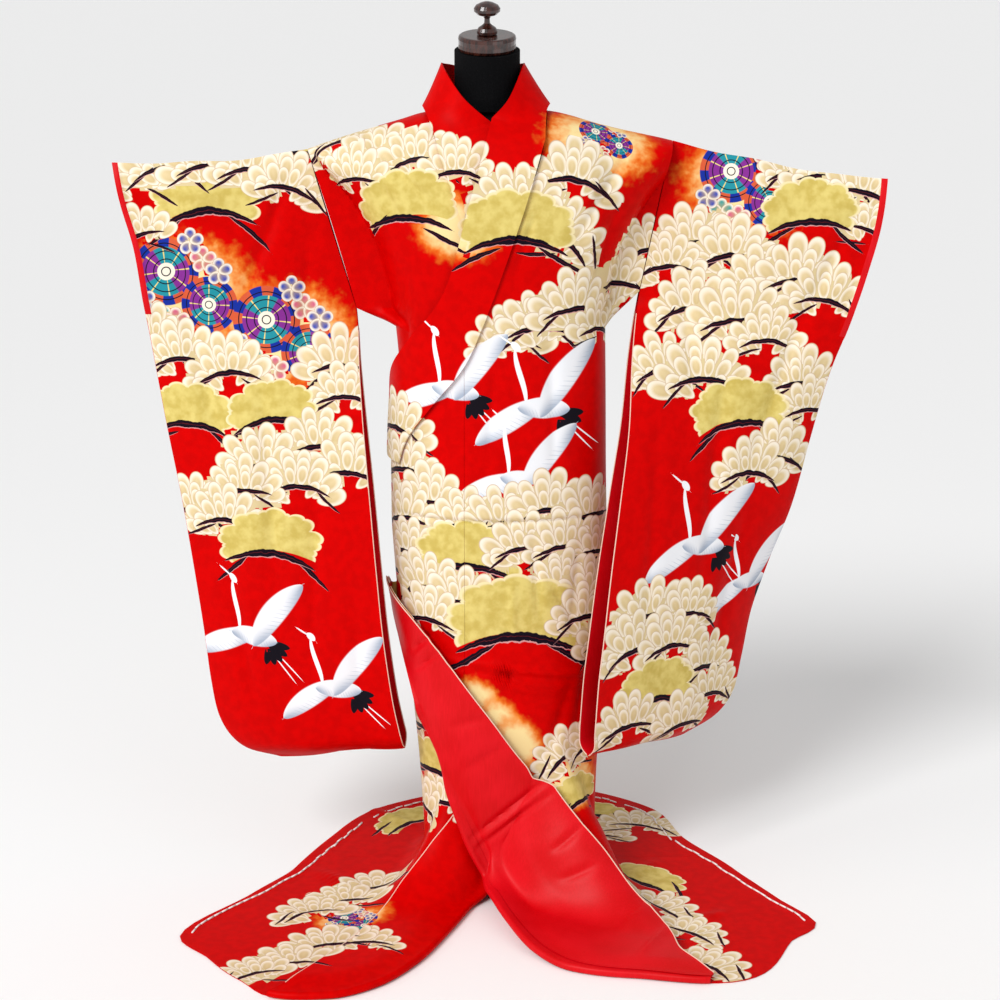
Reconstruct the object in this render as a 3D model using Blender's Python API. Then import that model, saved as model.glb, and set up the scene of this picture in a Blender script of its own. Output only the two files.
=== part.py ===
"""Long-sleeved wedding kimono worn by a limbless dress form.

Metres, +Z up, the wearer faces -Y.  The origin is the floor point under the form's pole.
Every cloth piece is the middle surface of its wall, thickened by a Solidify modifier.
The skirt is one surface in polar terms: an angle round the body (0 in front, 90 at the
wearer's left, 180 at the centre back) and a run, the length of cloth below the underarm
line, which goes down the body, bends at the floor and then lies along it.
"""
import math

import bpy
import numpy as np
from mathutils import Matrix
from mathutils import Vector

# ---- driving dimensions -------------------------------------------------------------
CLOTH_WALL = 0.0020
LINING_WALL = 0.0012
COLLAR_WALL = 0.0028
SEAM_GAP = 0.0003
FLOOR_CLEARANCE = 0.0006

UNDERARM_HEIGHT = 1.05
BODY_CENTRE_X = 0.021
BODY_ROUNDNESS = 2.3
RIDGE_ROUNDING = 0.10
WING_HALF_DEPTH = 0.009

UNDER_LIFT = 0.0
NORMAL_ANGLE = 12.0
COLLAR_LIFT = 0.0060
COLLAR_TUCK = 0.006
UNDER_COLLAR_DROP = 0.0015
UPPER_LIFT_CHEST = 0.0118
UPPER_LIFT_HIP = 0.0295
TURN_RADIUS = 0.0058
FLAP_RISE = 0.0050
FLAP_SLOPE = 0.06
FLAP_SPAN = 0.003
FOLD_MARGIN = 0.014
CORNER_SHARE = 0.06

SLEEVE_HALF_DEPTH = 0.026
SLEEVE_SEWN_HALF_DEPTH = CLOTH_WALL / 2 + 0.0003

NECK_RADIUS = 0.0565
NECK_TILT = math.radians(12)
FORM_CLEARANCE = 0.0027
TORSO_BOTTOM = 0.64
POLE_RADIUS = 0.016
BASE_RADIUS = 0.100
BASE_HEIGHT = 0.018


def table(columns, *rows):
    """A table with named columns: each name leads to the list of its values."""
    return {name: [row[place] for row in rows] for place, name in enumerate(columns.split())}


# Half-widths of the wrapped body, measured from its centre line.
BODY = table(
    "height left right front back",
    (0.00, 0.140, 0.158, 0.122, 0.112),
    (0.12, 0.144, 0.163, 0.122, 0.112),
    (0.22, 0.150, 0.167, 0.122, 0.114),
    (0.33, 0.160, 0.175, 0.126, 0.118),
    (0.44, 0.168, 0.186, 0.126, 0.124),
    (0.58, 0.178, 0.194, 0.126, 0.130),
    (0.69, 0.184, 0.190, 0.126, 0.130),
    (0.80, 0.184, 0.187, 0.125, 0.124),
    (0.95, 0.178, 0.185, 0.124, 0.118),
    (1.05, 0.185, 0.183, 0.124, 0.116),
)

# Height of the shoulder ridge, from the wearer's right to the wearer's left.
RIDGE = table(
    "x height",
    (-0.330, 1.332),
    (-0.312, 1.338),
    (-0.247, 1.361),
    (-0.150, 1.389),
    (-0.105, 1.402),
    (0.000, 1.412),
    (0.105, 1.404),
    (0.195, 1.381),
    (0.275, 1.363),
    (0.321, 1.353),
    (0.340, 1.349),
)

# Half-width of the torso inside the cloth, above the underarm.
CORE = table(
    "height half_width half_depth",
    (1.05, 0.184, 0.124),
    (1.15, 0.205, 0.126),
    (1.25, 0.255, 0.122),
    (1.33, 0.320, 0.112),
    (1.42, 0.360, 0.100),
)

# Radius of the bend in which the cloth turns from the body to the floor.
BEND = table(
    "angle radius",
    (-180, 0.050),
    (-95, 0.050),
    (-75, 0.070),
    (-58, 0.150),
    (-42, 0.250),
    (-28, 0.200),
    (-12, 0.100),
    (8, 0.120),
    (25, 0.220),
    (42, 0.340),
    (58, 0.200),
    (75, 0.080),
    (95, 0.055),
    (180, 0.050),
)

# Lower limit of the wearer's right half (the under layer): its hem round the back, its
# front edge on the floor and the line on which the front is turned back.
UNDER_LIMIT = table(
    "angle run",
    (-180, 1.270),
    (-151, 1.235),
    (-127, 1.232),
    (-111, 1.228),
    (-83, 1.274),
    (-70.6, 1.358),
    (-59.3, 1.498),
    (-50.6, 1.464),
    (-42.4, 1.453),
    (-36, 1.469),
    (-27.5, 1.441),
    (-22, 1.388),
    (-18.4, 1.299),
    (-16.3, 1.187),
    (-14, 1.102),
    (-7.5, 1.055),
    (0, 0.960),
    (10, 0.850),
    (20, 0.760),
    (38, 0.600),
    (55, 0.450),
)

# Lower limit of the wearer's left half (the upper layer).
UPPER_LIMIT = table(
    "angle run",
    (-97, 0.455),
    (-88, 0.505),
    (-80, 0.545),
    (-71.8, 0.585),
    (-62, 0.636),
    (-49.2, 0.711),
    (-39.9, 0.780),
    (-33.8, 0.865),
    (-26.1, 0.952),
    (-5.9, 1.087),
    (3.4, 1.191),
    (9, 1.268),
    (15.6, 1.321),
    (26.7, 1.346),
    (36, 1.380),
    (40.8, 1.395),
    (55.9, 1.418),
    (63.9, 1.458),
    (70.5, 1.393),
    (82.7, 1.311),
    (105.7, 1.239),
    (127, 1.268),
    (150, 1.271),
    (180, 1.270),
)

# Free edge of each turned-back front, against the angle of the fold it has left.
UNDER_FLAP = table(
    "fold_angle edge_angle edge_run",
    (-35.5, -34.8, 1.440),
    (-27.5, -34.9, 1.360),
    (-22, -35.2, 1.268),
    (-18.4, -37.4, 1.190),
    (-16.3, -39.5, 1.120),
    (-14, -41.0, 1.060),
    (-7.5, -39.2, 0.978),
    (0, -30.0, 0.880),
    (10, -10.0, 0.800),
    (18, 12.0, 0.765),
)

UPPER_FLAP = table(
    "fold_angle edge_angle edge_run",
    (-94, -90, 0.470),
    (-86, -78, 0.487),
    (-71.8, -60, 0.525),
    (-62, -42, 0.582),
    (-49.2, -18, 0.665),
    (-39.9, 6, 0.745),
    (-33.8, 24, 0.807),
    (-26.1, 36.5, 0.850),
    (-5.9, 41.2, 0.985),
    (3.4, 43.0, 1.080),
    (9, 43.8, 1.140),
    (15.6, 41.5, 1.210),
    (26.7, 37.5, 1.290),
    (36, 36.9, 1.373),
)

# Height up to which each overlap panel runs under the collar.
UPPER_OVERLAP_TOP = table(
    "angle height",
    (-97, 0.804),
    (-70, 0.804),
    (-64, 0.838),
    (-46, 0.918),
    (-26, 0.992),
)
UNDER_OVERLAP_TOP = table(
    "angle height",
    (8, 1.006),
    (18, 0.938),
    (26, 0.868),
    (30, 0.806),
    (55, 0.804),
)

# Seam of the collar on the upper and the under front (angle of its points by height).
UPPER_SEAM = table(
    "height angle",
    (0.80, -70),
    (0.83, -64),
    (0.91, -46),
    (0.985, -25),
    (1.083, -8),
    (1.227, 15),
    (1.353, 33),
    (1.410, 36),
)
UNDER_SEAM = table(
    "height angle",
    (0.80, 30),
    (0.86, 26),
    (0.93, 18),
    (1.00, 8),
    (1.083, -6),
    (1.227, -26),
    (1.353, -45),
    (1.410, -50),
)

# Stations of the collar on the fronts, from its lower end up to the crossing.
UPPER_COLLAR = table(
    "step free_angle free_height seam_angle seam_height",
    (0, -99, 0.800, -68, 0.795),
    (1, -97, 0.850, -63, 0.835),
    (2, -86, 0.930, -45, 0.910),
    (3, -60, 1.020, -24, 0.985),
    (4, -38, 1.112, -7, 1.083),
    (5, -22.5, 1.255, 16, 1.227),
    (6, -6, 1.383, 33, 1.353),
)
UNDER_COLLAR = table(
    "step free_angle free_height seam_angle seam_height",
    (0, 60, 0.800, 30, 0.795),
    (1, 58, 0.870, 26, 0.850),
    (2, 52, 0.950, 16, 0.930),
    (3, 42, 1.030, 4, 1.000),
    (4, 29, 1.112, -8, 1.083),
    (5, 11, 1.255, -28, 1.227),
    (6, -5, 1.383, -45, 1.353),
)
# Stations of the collar round the neck, from the wearer's left to the wearer's right.
NECK_COLLAR = table(
    "free_x free_y free_z seam_x seam_y",
    (0.038, -0.074, 1.430, 0.101, -0.048),
    (0.061, -0.018, 1.479, 0.107, 0.000),
    (0.059, 0.045, 1.482, 0.092, 0.050),
    (0.036, 0.084, 1.476, 0.055, 0.082),
    (-0.004, 0.097, 1.472, 0.000, 0.092),
    (-0.045, 0.084, 1.476, -0.060, 0.082),
    (-0.072, 0.045, 1.482, -0.095, 0.050),
    (-0.076, -0.012, 1.480, -0.111, 0.000),
    (-0.040, -0.074, 1.430, -0.104, -0.048),
)

# Back neckline of the body strips, under the collar: distance from the centre by height.
BACK_NECK = table(
    "height x",
    (1.366, 0.000),
    (1.377, 0.034),
    (1.396, 0.086),
    (1.406, 0.102),
)

# Sections of the form's torso, then of its shoulders, which carry the cloth.
TORSO = table(
    "height half_width half_depth",
    (0.640, 0.142, 0.096),
    (0.700, 0.154, 0.104),
    (0.780, 0.158, 0.106),
    (0.880, 0.146, 0.098),
    (0.960, 0.134, 0.092),
    (1.040, 0.142, 0.097),
    (1.140, 0.160, 0.105),
    (1.230, 0.172, 0.103),
    (1.300, 0.183, 0.094),
    (1.345, 0.190, 0.082),
)
SHOULDERS = table(
    "half_width half_depth",
    (0.186, 0.066),
    (0.160, 0.056),
    (0.130, 0.046),
    (0.105, 0.045),
    (0.085, 0.048),
    (0.070, 0.0530),
)
NECK_TOP = 1.5065

# Turned profiles on the neck's axis, measured from the top of the neck.
CAP_PROFILE = (
    (0.0460, 0.0003),
    (0.0490, 0.0016),
    (0.0500, 0.0060),
    (0.0492, 0.0120),
    (0.0498, 0.0200),
    (0.0488, 0.0245),
    (0.0465, 0.0262),
    (0.0440, 0.0266),
)
FINIAL_PROFILE = (
    (0.0150, 0.0269),
    (0.0175, 0.0285),
    (0.0180, 0.0330),
    (0.0150, 0.0385),
    (0.0090, 0.0425),
    (0.0052, 0.0460),
    (0.0046, 0.0540),
    (0.0070, 0.0575),
    (0.0170, 0.0610),
    (0.0225, 0.0665),
    (0.0228, 0.0710),
    (0.0190, 0.0765),
    (0.0110, 0.0805),
    (0.0040, 0.0825),
)
BASE_PROFILE = (
    (BASE_RADIUS - 0.002, 0.0),
    (BASE_RADIUS, 0.002),
    (BASE_RADIUS, 0.011),
    (BASE_RADIUS - 0.004, 0.015),
    (0.060, 0.0175),
    (0.020, BASE_HEIGHT),
)

# Middle line of each sleeve, row by row from its top fold to its bottom.
RIGHT_SLEEVE = table(
    "step inner_x inner_y inner_z outer_x outer_y outer_z",
    (0, -0.312, 0.000, 1.338, -0.654, 0.000, 1.315),
    (1, -0.291, 0.000, 1.265, -0.640, 0.000, 1.242),
    (2, -0.263, 0.000, 1.169, -0.619, -0.010, 1.165),
    (3, -0.232, 0.000, 1.062, -0.606, -0.015, 1.070),
    (4, -0.224, -0.045, 0.960, -0.591, -0.020, 0.970),
    (5, -0.216, -0.070, 0.866, -0.573, -0.025, 0.850),
    (6, -0.205, -0.085, 0.740, -0.553, -0.030, 0.730),
    (7, -0.195, -0.090, 0.612, -0.536, -0.030, 0.600),
    (8, -0.186, -0.090, 0.500, -0.521, -0.030, 0.470),
    (9, -0.177, -0.090, 0.420, -0.512, -0.030, 0.375),
    (10, -0.167, -0.090, 0.350, -0.502, -0.030, 0.312),
    (11, -0.158, -0.090, 0.305, -0.481, -0.030, 0.266),
    (12, -0.153, -0.090, 0.280, -0.447, -0.030, 0.237),
    (13, -0.152, -0.090, 0.262, -0.386, -0.030, 0.221),
)
LEFT_SLEEVE = table(
    "step inner_x inner_y inner_z outer_x outer_y outer_z",
    (0, 0.321, 0.000, 1.353, 0.699, 0.000, 1.287),
    (1, 0.306, 0.000, 1.275, 0.690, 0.000, 1.210),
    (2, 0.287, 0.000, 1.185, 0.669, 0.005, 1.118),
    (3, 0.268, 0.000, 1.092, 0.642, 0.010, 1.025),
    (4, 0.250, -0.060, 0.985, 0.610, 0.020, 0.922),
    (5, 0.241, -0.100, 0.877, 0.585, 0.025, 0.815),
    (6, 0.222, -0.140, 0.745, 0.558, 0.030, 0.695),
    (7, 0.203, -0.172, 0.611, 0.518, 0.035, 0.580),
    (8, 0.190, -0.190, 0.500, 0.488, 0.035, 0.480),
    (9, 0.182, -0.197, 0.430, 0.475, 0.035, 0.400),
    (10, 0.178, -0.200, 0.370, 0.462, 0.030, 0.335),
    (11, 0.176, -0.200, 0.330, 0.442, 0.020, 0.302),
    (12, 0.176, -0.200, 0.305, 0.412, 0.005, 0.280),
    (13, 0.178, -0.200, 0.290, 0.362, -0.030, 0.266),
)


# ---- curves and surfaces --------------------------------------------------------------
def along(data, key, column):
    """Smooth curve through one column of a table, with no overshoot between its rows."""
    x = np.array(data[key], dtype=float)
    y = np.array(data[column], dtype=float)
    step = np.diff(x)
    rise = np.diff(y) / step
    slope = np.zeros(len(x))
    slope[0] = rise[0]
    slope[-1] = rise[-1]
    for i in range(1, len(x) - 1):
        if rise[i - 1] * rise[i] > 0:
            slope[i] = 2 * rise[i - 1] * rise[i] / (rise[i - 1] + rise[i])

    def value(at):
        i = int(np.clip(np.searchsorted(x, at) - 1, 0, len(step) - 1))
        t = min(max((at - x[i]) / step[i], 0.0), 1.0)
        ease = t * t * (3 - 2 * t)
        into = t * (1 - t) * (1 - t) * step[i] * slope[i]
        out = t * t * (t - 1) * step[i] * slope[i + 1]
        return float(y[i] * (1 - ease) + y[i + 1] * ease + into + out)

    return value


def ramp(value, start, end):
    """0 at start, 1 at end, smooth in between."""
    t = min(max((value - start) / (end - start), 0.0), 1.0)
    return t * t * (3 - 2 * t)


def mix(a, b, t):
    return a + (b - a) * t


def spread(start, end, count):
    """count + 1 even values from start to end."""
    return [mix(start, end, i / count) for i in range(count + 1)]


body_left_of = along(BODY, "height", "left")
body_right_of = along(BODY, "height", "right")
body_front_of = along(BODY, "height", "front")
body_back_of = along(BODY, "height", "back")
ridge_height = along(RIDGE, "x", "height")
core_width = along(CORE, "height", "half_width")
core_depth = along(CORE, "height", "half_depth")
bend_radius = along(BEND, "angle", "radius")
under_limit = along(UNDER_LIMIT, "angle", "run")
upper_limit = along(UPPER_LIMIT, "angle", "run")
upper_seam = along(UPPER_SEAM, "height", "angle")
under_seam = along(UNDER_SEAM, "height", "angle")


def body_radius(angle, height):
    """Distance from the centre line to the wrapped body at an angle and a height."""
    side = math.sin(math.radians(angle))
    ahead = math.cos(math.radians(angle))
    wide = body_right_of(height) if side > 0 else body_left_of(height)
    deep = body_front_of(height) if ahead > 0 else body_back_of(height)
    share = abs(side / wide) ** BODY_ROUNDNESS + abs(ahead / deep) ** BODY_ROUNDNESS
    return share ** (-1 / BODY_ROUNDNESS)


def skirt_place(angle, run):
    """A point of the skirt's base surface: down the body, round the bend, along the floor."""
    bend = bend_radius(angle)
    straight = UNDERARM_HEIGHT - bend
    quarter = bend * math.pi / 2
    if run <= straight:
        height, out = UNDERARM_HEIGHT - run, 0.0
    elif run <= straight + quarter:
        turn = (run - straight) / bend
        height, out = bend * (1 - math.sin(turn)), bend * (1 - math.cos(turn))
    else:
        height, out = 0.0, bend + run - straight - quarter
    radius = body_radius(angle, height) + out
    x = BODY_CENTRE_X + radius * math.sin(math.radians(angle))
    y = -radius * math.cos(math.radians(angle))
    return Vector((x, y, height + FLOOR_CLEARANCE + CLOTH_WALL / 2))


def skirt(angle, run, lift=0.0):
    """A point of the skirt, lifted off the base surface along its outward normal.

    The normal is taken across a wide angle, so that stacked layers keep their order
    over the hollows between two spreading folds.
    """
    here = skirt_place(angle, run)
    across = skirt_place(angle + NORMAL_ANGLE, run) - skirt_place(angle - NORMAL_ANGLE, run)
    down = skirt_place(angle, run + 0.002) - skirt_place(angle, run - 0.002)
    return here + down.cross(across).normalized() * lift


def chest_depth(x, height):
    """Half-depth of the cloth above the underarm: a round torso, then flat wings."""
    inside = max(0.0, 1 - (abs(x - BODY_CENTRE_X) / core_width(height)) ** BODY_ROUNDNESS)
    core = core_depth(height) * inside ** (1 / BODY_ROUNDNESS)
    return (core ** 4 + WING_HALF_DEPTH ** 4) ** 0.25


def chest_place(x, drop, facing):
    """A point of the chest (facing -1) or the back (facing 1), by its drop below the ridge."""
    height = ridge_height(x) - drop
    full = chest_depth(x, height)
    reach = min(1.0, drop / (0.02 + RIDGE_ROUNDING * full / 0.12))
    return Vector((x, facing * full * math.sqrt(reach * (2 - reach)), height))


def chest(x, height, facing, lift=0.0):
    """A point of the chest or back at a height, lifted along its outward normal."""
    drop = max(0.0, ridge_height(x) - height)
    here = chest_place(x, drop, facing)
    if lift == 0.0:
        return here
    down = chest_place(x, drop + 0.004, facing) - chest_place(x, max(drop - 0.004, 0.0), facing)
    across = chest_place(x + 0.004, drop, facing) - chest_place(x - 0.004, drop, facing)
    return here + down.cross(across).normalized() * -facing * lift


def front(angle, height, lift=0.0):
    """A point of the front by its angle and height, above or below the underarm."""
    if height < UNDERARM_HEIGHT:
        return skirt(angle, UNDERARM_HEIGHT - height, lift)
    x = BODY_CENTRE_X + body_radius(angle, UNDERARM_HEIGHT) * math.sin(math.radians(angle))
    return chest(x, height, -1, lift)


def upper_lift(angle, run):
    """How far the upper layer stands off the base surface.

    It clears the under layer on the front, stands further off over the under layer's
    turned-back part, and comes down to the floor where nothing lies under it.
    """
    over_flap = ramp(run, 0.55, 0.75)
    grounded = ramp(run, 0.95, 1.15) * ramp(angle, -3, 14)
    lift = mix(UPPER_LIFT_CHEST, UPPER_LIFT_HIP, over_flap) * ramp(angle, 100, 62)
    return mix(lift, 0.0, grounded)


def under_lift(angle, run):
    """The under layer lies on the base surface."""
    return UNDER_LIFT


# ---- making objects -------------------------------------------------------------------
def clear_scene():
    for item in list(bpy.data.objects):
        bpy.data.objects.remove(item, do_unlink=True)


def material(name, colour, roughness, metallic=0.0):
    made = bpy.data.materials.new(name)
    made.use_nodes = True
    shader = made.node_tree.nodes["Principled BSDF"]
    shader.inputs["Base Color"].default_value = (*colour, 1.0)
    shader.inputs["Roughness"].default_value = roughness
    shader.inputs["Metallic"].default_value = metallic
    return made


def add_object(name, points, faces, finish, smooth=True):
    mesh = bpy.data.meshes.new(name)
    mesh.from_pydata([tuple(p) for p in points], [], faces)
    mesh.validate()
    made = bpy.data.objects.new(name, mesh)
    bpy.context.scene.collection.objects.link(made)
    mesh.materials.append(finish)
    if smooth:
        mesh.shade_smooth()
    return made


def thicken(piece, wall):
    """Gives a middle surface its wall, half to each side."""
    solid = piece.modifiers.new("wall", "SOLIDIFY")
    solid.thickness = wall
    solid.offset = 0.0
    solid.use_rim = True
    return piece


def sheet(name, places, finish, wall=CLOTH_WALL):
    """A cloth wall from points keyed by (row, column); a cell needs all its four corners."""
    order = {key: i for i, key in enumerate(places)}
    faces = []
    for row, column in places:
        corners = [(row, column), (row, column + 1), (row + 1, column + 1), (row + 1, column)]
        if all(corner in order for corner in corners):
            a, b, c, d = (order[corner] for corner in corners)
            along_ac = (places[corners[0]] - places[corners[2]]).length
            along_bd = (places[corners[1]] - places[corners[3]]).length
            faces += [[a, b, c], [a, c, d]] if along_ac < along_bd else [[a, b, d], [b, c, d]]
    used = sorted({i for face in faces for i in face})
    packed = {old: new for new, old in enumerate(used)}
    points = list(places.values())
    faces = [[packed[i] for i in face] for face in faces]
    return thicken(add_object(name, [points[i] for i in used], faces, finish), wall)


def turned(name, profile, finish, sides=32):
    """A solid of revolution about Z from (radius, height) pairs, bottom to top."""
    points = []
    faces = []
    for radius, height in profile:
        for i in range(sides):
            turn = 2 * math.pi * i / sides
            points.append((radius * math.cos(turn), radius * math.sin(turn), height))
    for ring in range(len(profile) - 1):
        for i in range(sides):
            after = (i + 1) % sides
            low, high = ring * sides, (ring + 1) * sides
            faces.append((low + i, low + after, high + after, high + i))
    faces.append(tuple(reversed(range(sides))))
    last = (len(profile) - 1) * sides
    faces.append(tuple(last + i for i in range(sides)))
    made = add_object(name, points, faces, finish)
    made.data.set_sharp_from_angle(angle=math.radians(35))
    return made


# ---- the cloth ------------------------------------------------------------------------
BODY_ROWS = 6
BEND_ROWS = 6
FLOOR_ROWS = 2
BODY_COLUMNS = 13
OVERLAP_ROWS = BODY_ROWS + BEND_ROWS + FLOOR_ROWS
FLAP_SHARES = (0.0, 0.10, 0.20, 0.30, 0.44, 0.58, 0.72, 0.86, 1.0)
LINING_LEAST_WIDTH = 0.04
LINING_GAP = 0.0010
FLAP_START = OVERLAP_ROWS + 2
SHOULDER_DROPS = (0.0, 0.0015, 0.006, 0.02, 0.03, 0.05, 0.075, 0.11, 0.17, 0.25)
UNDERARM_ROW = UNDERARM_HEIGHT + 0.012
SEAM_ANGLE = 0.14
UPPER_OVERLAP_ANGLE = -26.0
UNDER_OVERLAP_ANGLE = 8.0

# Line of each armhole seam, from the shoulder to the underarm (side -1 is the wearer's right).
ARMHOLE = {
    -1: {"top_x": -0.312, "top_z": 1.338, "low_x": -0.232, "low_z": 1.062},
    1: {"top_x": 0.321, "top_z": 1.353, "low_x": 0.268, "low_z": 1.092},
}

back_neck_x = along(BACK_NECK, "height", "x")


def skirt_runs(start, limit, bend):
    """Rows of one skirt column: they gather in the bend and end at the column's limit."""
    straight = min(UNDERARM_HEIGHT - bend, 0.55 * limit)
    bent = min(UNDERARM_HEIGHT - bend + bend * math.pi / 2, 0.88 * limit)
    runs = spread(start, straight, BODY_ROWS)
    runs += spread(straight, bent, BEND_ROWS)[1:]
    runs += spread(bent, limit, FLOOR_ROWS)[1:]
    return runs


def skirt_rows(angles, limit, lift, shorten):
    """Rows of points from the underarm to the limit, one column for each angle."""
    columns = []
    for angle in angles:
        runs = skirt_runs(0.02, limit(angle), bend_radius(angle))
        runs[-1] -= shorten(angle)
        columns.append([skirt(angle, run, lift(angle, run)) for run in runs])
    return [list(row) for row in zip(*columns)]


def chest_rows(side, facing, inner_x, lift):
    """Rows of a body strip from the shoulder ridge down to the underarm."""
    armhole = ARMHOLE[side]
    rows = []
    for drop in SHOULDER_DROPS:
        share = drop / SHOULDER_DROPS[-1]
        outer_x = mix(armhole["top_x"], armhole["low_x"], share) - side * SEAM_GAP
        level = mix(ridge_height(side * 0.104), UNDERARM_ROW, share)
        row = []
        for t in spread(0.0, 1.0, BODY_COLUMNS):
            x = mix(inner_x(level), outer_x, t)
            foot = mix(UNDERARM_ROW, armhole["low_z"], t ** 3)
            height = mix(ridge_height(x), foot, share)
            row.append(chest(x, height, facing, lift(x) * ramp(share, 0.0, 0.3)))
        rows.append(row)
    return rows


def seam_x(side, seam):
    """Inner limit of a front, tucked a little under the collar."""

    def value(height):
        angle = seam(height)
        radius = body_radius(angle, UNDERARM_HEIGHT)
        tuck = COLLAR_TUCK * (1 - ramp(height, 1.15, 1.25))
        return BODY_CENTRE_X + radius * math.sin(math.radians(angle)) - side * tuck

    return value


def body_strip(name, side, front_angles, folded_to, seam, limit, lift, finish):
    """Front and back in one strip, which runs over the shoulder with no seam there."""

    def back_x(height):
        if height > BACK_NECK["height"][0]:
            return side * (back_neck_x(height) + SEAM_GAP)
        return mix(BODY_CENTRE_X, 0.0, ramp(height, 1.10, 1.33)) + side * SEAM_GAP

    def chest_lift(x):
        return lift(0, 0) * (1 - ramp(x, 0.17, 0.215))

    def no_lift(x):
        return 0.0

    back_angles = spread(side * (180.0 - SEAM_ANGLE), side * (90.0 + SEAM_ANGLE), BODY_COLUMNS)
    def short_of_fold(angle):
        return FOLD_MARGIN * ramp(side * angle, folded_to, folded_to - 8)

    rows = list(reversed(skirt_rows(back_angles, limit, lift, short_of_fold)))
    rows += list(reversed(chest_rows(side, 1, back_x, no_lift)))[:-1]
    rows += chest_rows(side, -1, seam_x(side, seam), chest_lift)
    skirt_front = skirt_rows(front_angles, limit, lift, short_of_fold)
    skirt_front[-1][0] = skirt_front[-1][0].lerp(skirt_front[-1][1], CORNER_SHARE)
    rows += skirt_front
    places = {(i, j): point for i, row in enumerate(rows) for j, point in enumerate(row)}
    return sheet(name, places, finish)


def fold_and_edge(data, limit):
    """Curves of a turned-back front: a share of its width at a fold angle gives a place."""
    edge_angle = along(data, "fold_angle", "edge_angle")
    edge_run = along(data, "fold_angle", "edge_run")

    def place(fold_angle, share):
        fold_run = limit(fold_angle)
        width = fold_run - edge_run(fold_angle) + FLAP_SPAN * (abs(edge_angle(fold_angle) - fold_angle))
        angle = mix(fold_angle, edge_angle(fold_angle), share)
        run = mix(fold_run, edge_run(fold_angle), share)
        return angle, run, 2 * TURN_RADIUS + FLAP_RISE * ramp(share * width, 0.0, FLAP_SLOPE)

    return place


def overlap_panel(name, angles, main, flap_range, top, limit, place, lift, finish):
    """An overlap panel: its flat part on the front, the fold, and the part turned back."""
    top_height = along(top, "angle", "height")
    places = {}
    for j, angle in enumerate(angles):
        if main[0] <= angle <= main[1]:
            start = UNDERARM_HEIGHT - top_height(angle)
            for i, run in enumerate(skirt_runs(start, limit(angle), bend_radius(angle))):
                places[i, j] = skirt(angle, run, lift(angle, run))
        if flap_range[0] <= angle <= flap_range[1]:
            fold = limit(angle)
            edge_angle, edge_run, _ = place(angle, 1.0)
            width = (skirt(edge_angle, edge_run) - skirt(angle, fold)).length
            out_angle, out_run, _ = place(angle, -min(TURN_RADIUS / width, 0.3))
            places[OVERLAP_ROWS + 1, j] = skirt(out_angle, out_run, lift(angle, fold) + TURN_RADIUS)
            for i, share in enumerate(FLAP_SHARES):
                at_angle, at_run, rise = place(angle, share)
                height = lift(at_angle, at_run) + rise
                places[FLAP_START + i, j] = skirt(at_angle, at_run, height)
    columns = [j for j, angle in enumerate(angles) if main[0] <= angle <= main[1]]
    corner, beside = (columns[-1], columns[-2]) if columns[0] == 0 else columns[:2]
    kept = places[OVERLAP_ROWS, corner]
    places[OVERLAP_ROWS, corner] = kept.lerp(places[OVERLAP_ROWS, beside], CORNER_SHARE)
    sheet(name, places, finish)
    return places


def flap_lining(name, panel_places, finish):
    """The lining that a turned-back front shows, laid on the panel's turned part."""
    above = (CLOTH_WALL + LINING_WALL) / 2 + LINING_GAP
    first = FLAP_START + 1
    last = FLAP_START + len(FLAP_SHARES) - 1
    flap = {key: point for key, point in panel_places.items() if key[0] >= first}
    places = {}
    for (i, j), point in flap.items():
        if (flap[last, j] - flap[first, j]).length < LINING_LEAST_WIDTH:
            continue
        down = flap.get((i + 1, j), point) - flap.get((i - 1, j), point)
        across = flap.get((i, j + 1), point) - flap.get((i, j - 1), point)
        places[i, j] = point + across.cross(down).normalized() * above
    return sheet(name, places, finish, LINING_WALL)


# ---- the collar -----------------------------------------------------------------------
COLLAR_STEPS = 16
COLLAR_CELLS = 3
NECK_RISE = 0.0125


def shoulder_top(x, y):
    """Height of the cloth over the shoulder at a place near the neck."""
    low, high = 0.0, 0.25
    for _ in range(24):
        drop = (low + high) / 2
        if chest_place(x, drop, 1).y < abs(y):
            low = drop
        else:
            high = drop
    return ridge_height(x) - low


def collar_front(data, lift):
    """Rows of the collar band on a front, from its lower end to the crossing."""
    curves = {name: along(data, "step", name) for name in data if name != "step"}
    rows = []
    for step in spread(0, len(data["step"]) - 1, COLLAR_STEPS):
        here = {name: curve(step) for name, curve in curves.items()}
        row = []
        for t in spread(0.0, 1.0, COLLAR_CELLS):
            angle = mix(here["seam_angle"], here["free_angle"], t)
            height = mix(here["seam_height"], here["free_height"], t)
            row.append(front(angle, height, lift + COLLAR_LIFT))
        rows.append(row)
    return rows


def spline(points, per_span):
    """Catmull-Rom points through the given ones, ends included."""
    held = [2 * points[0] - points[1], *points, 2 * points[-1] - points[-2]]
    curve = []
    for i in range(1, len(held) - 2):
        a, b, c, d = held[i - 1: i + 3]
        for t in spread(0.0, 1.0, per_span)[:-1]:
            bend = (2 * a - 5 * b + 4 * c - d) * t * t + (3 * b - a - 3 * c + d) * t ** 3
            curve.append(0.5 * (2 * b + (c - a) * t + bend))
    curve.append(points[-1])
    return curve


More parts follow.
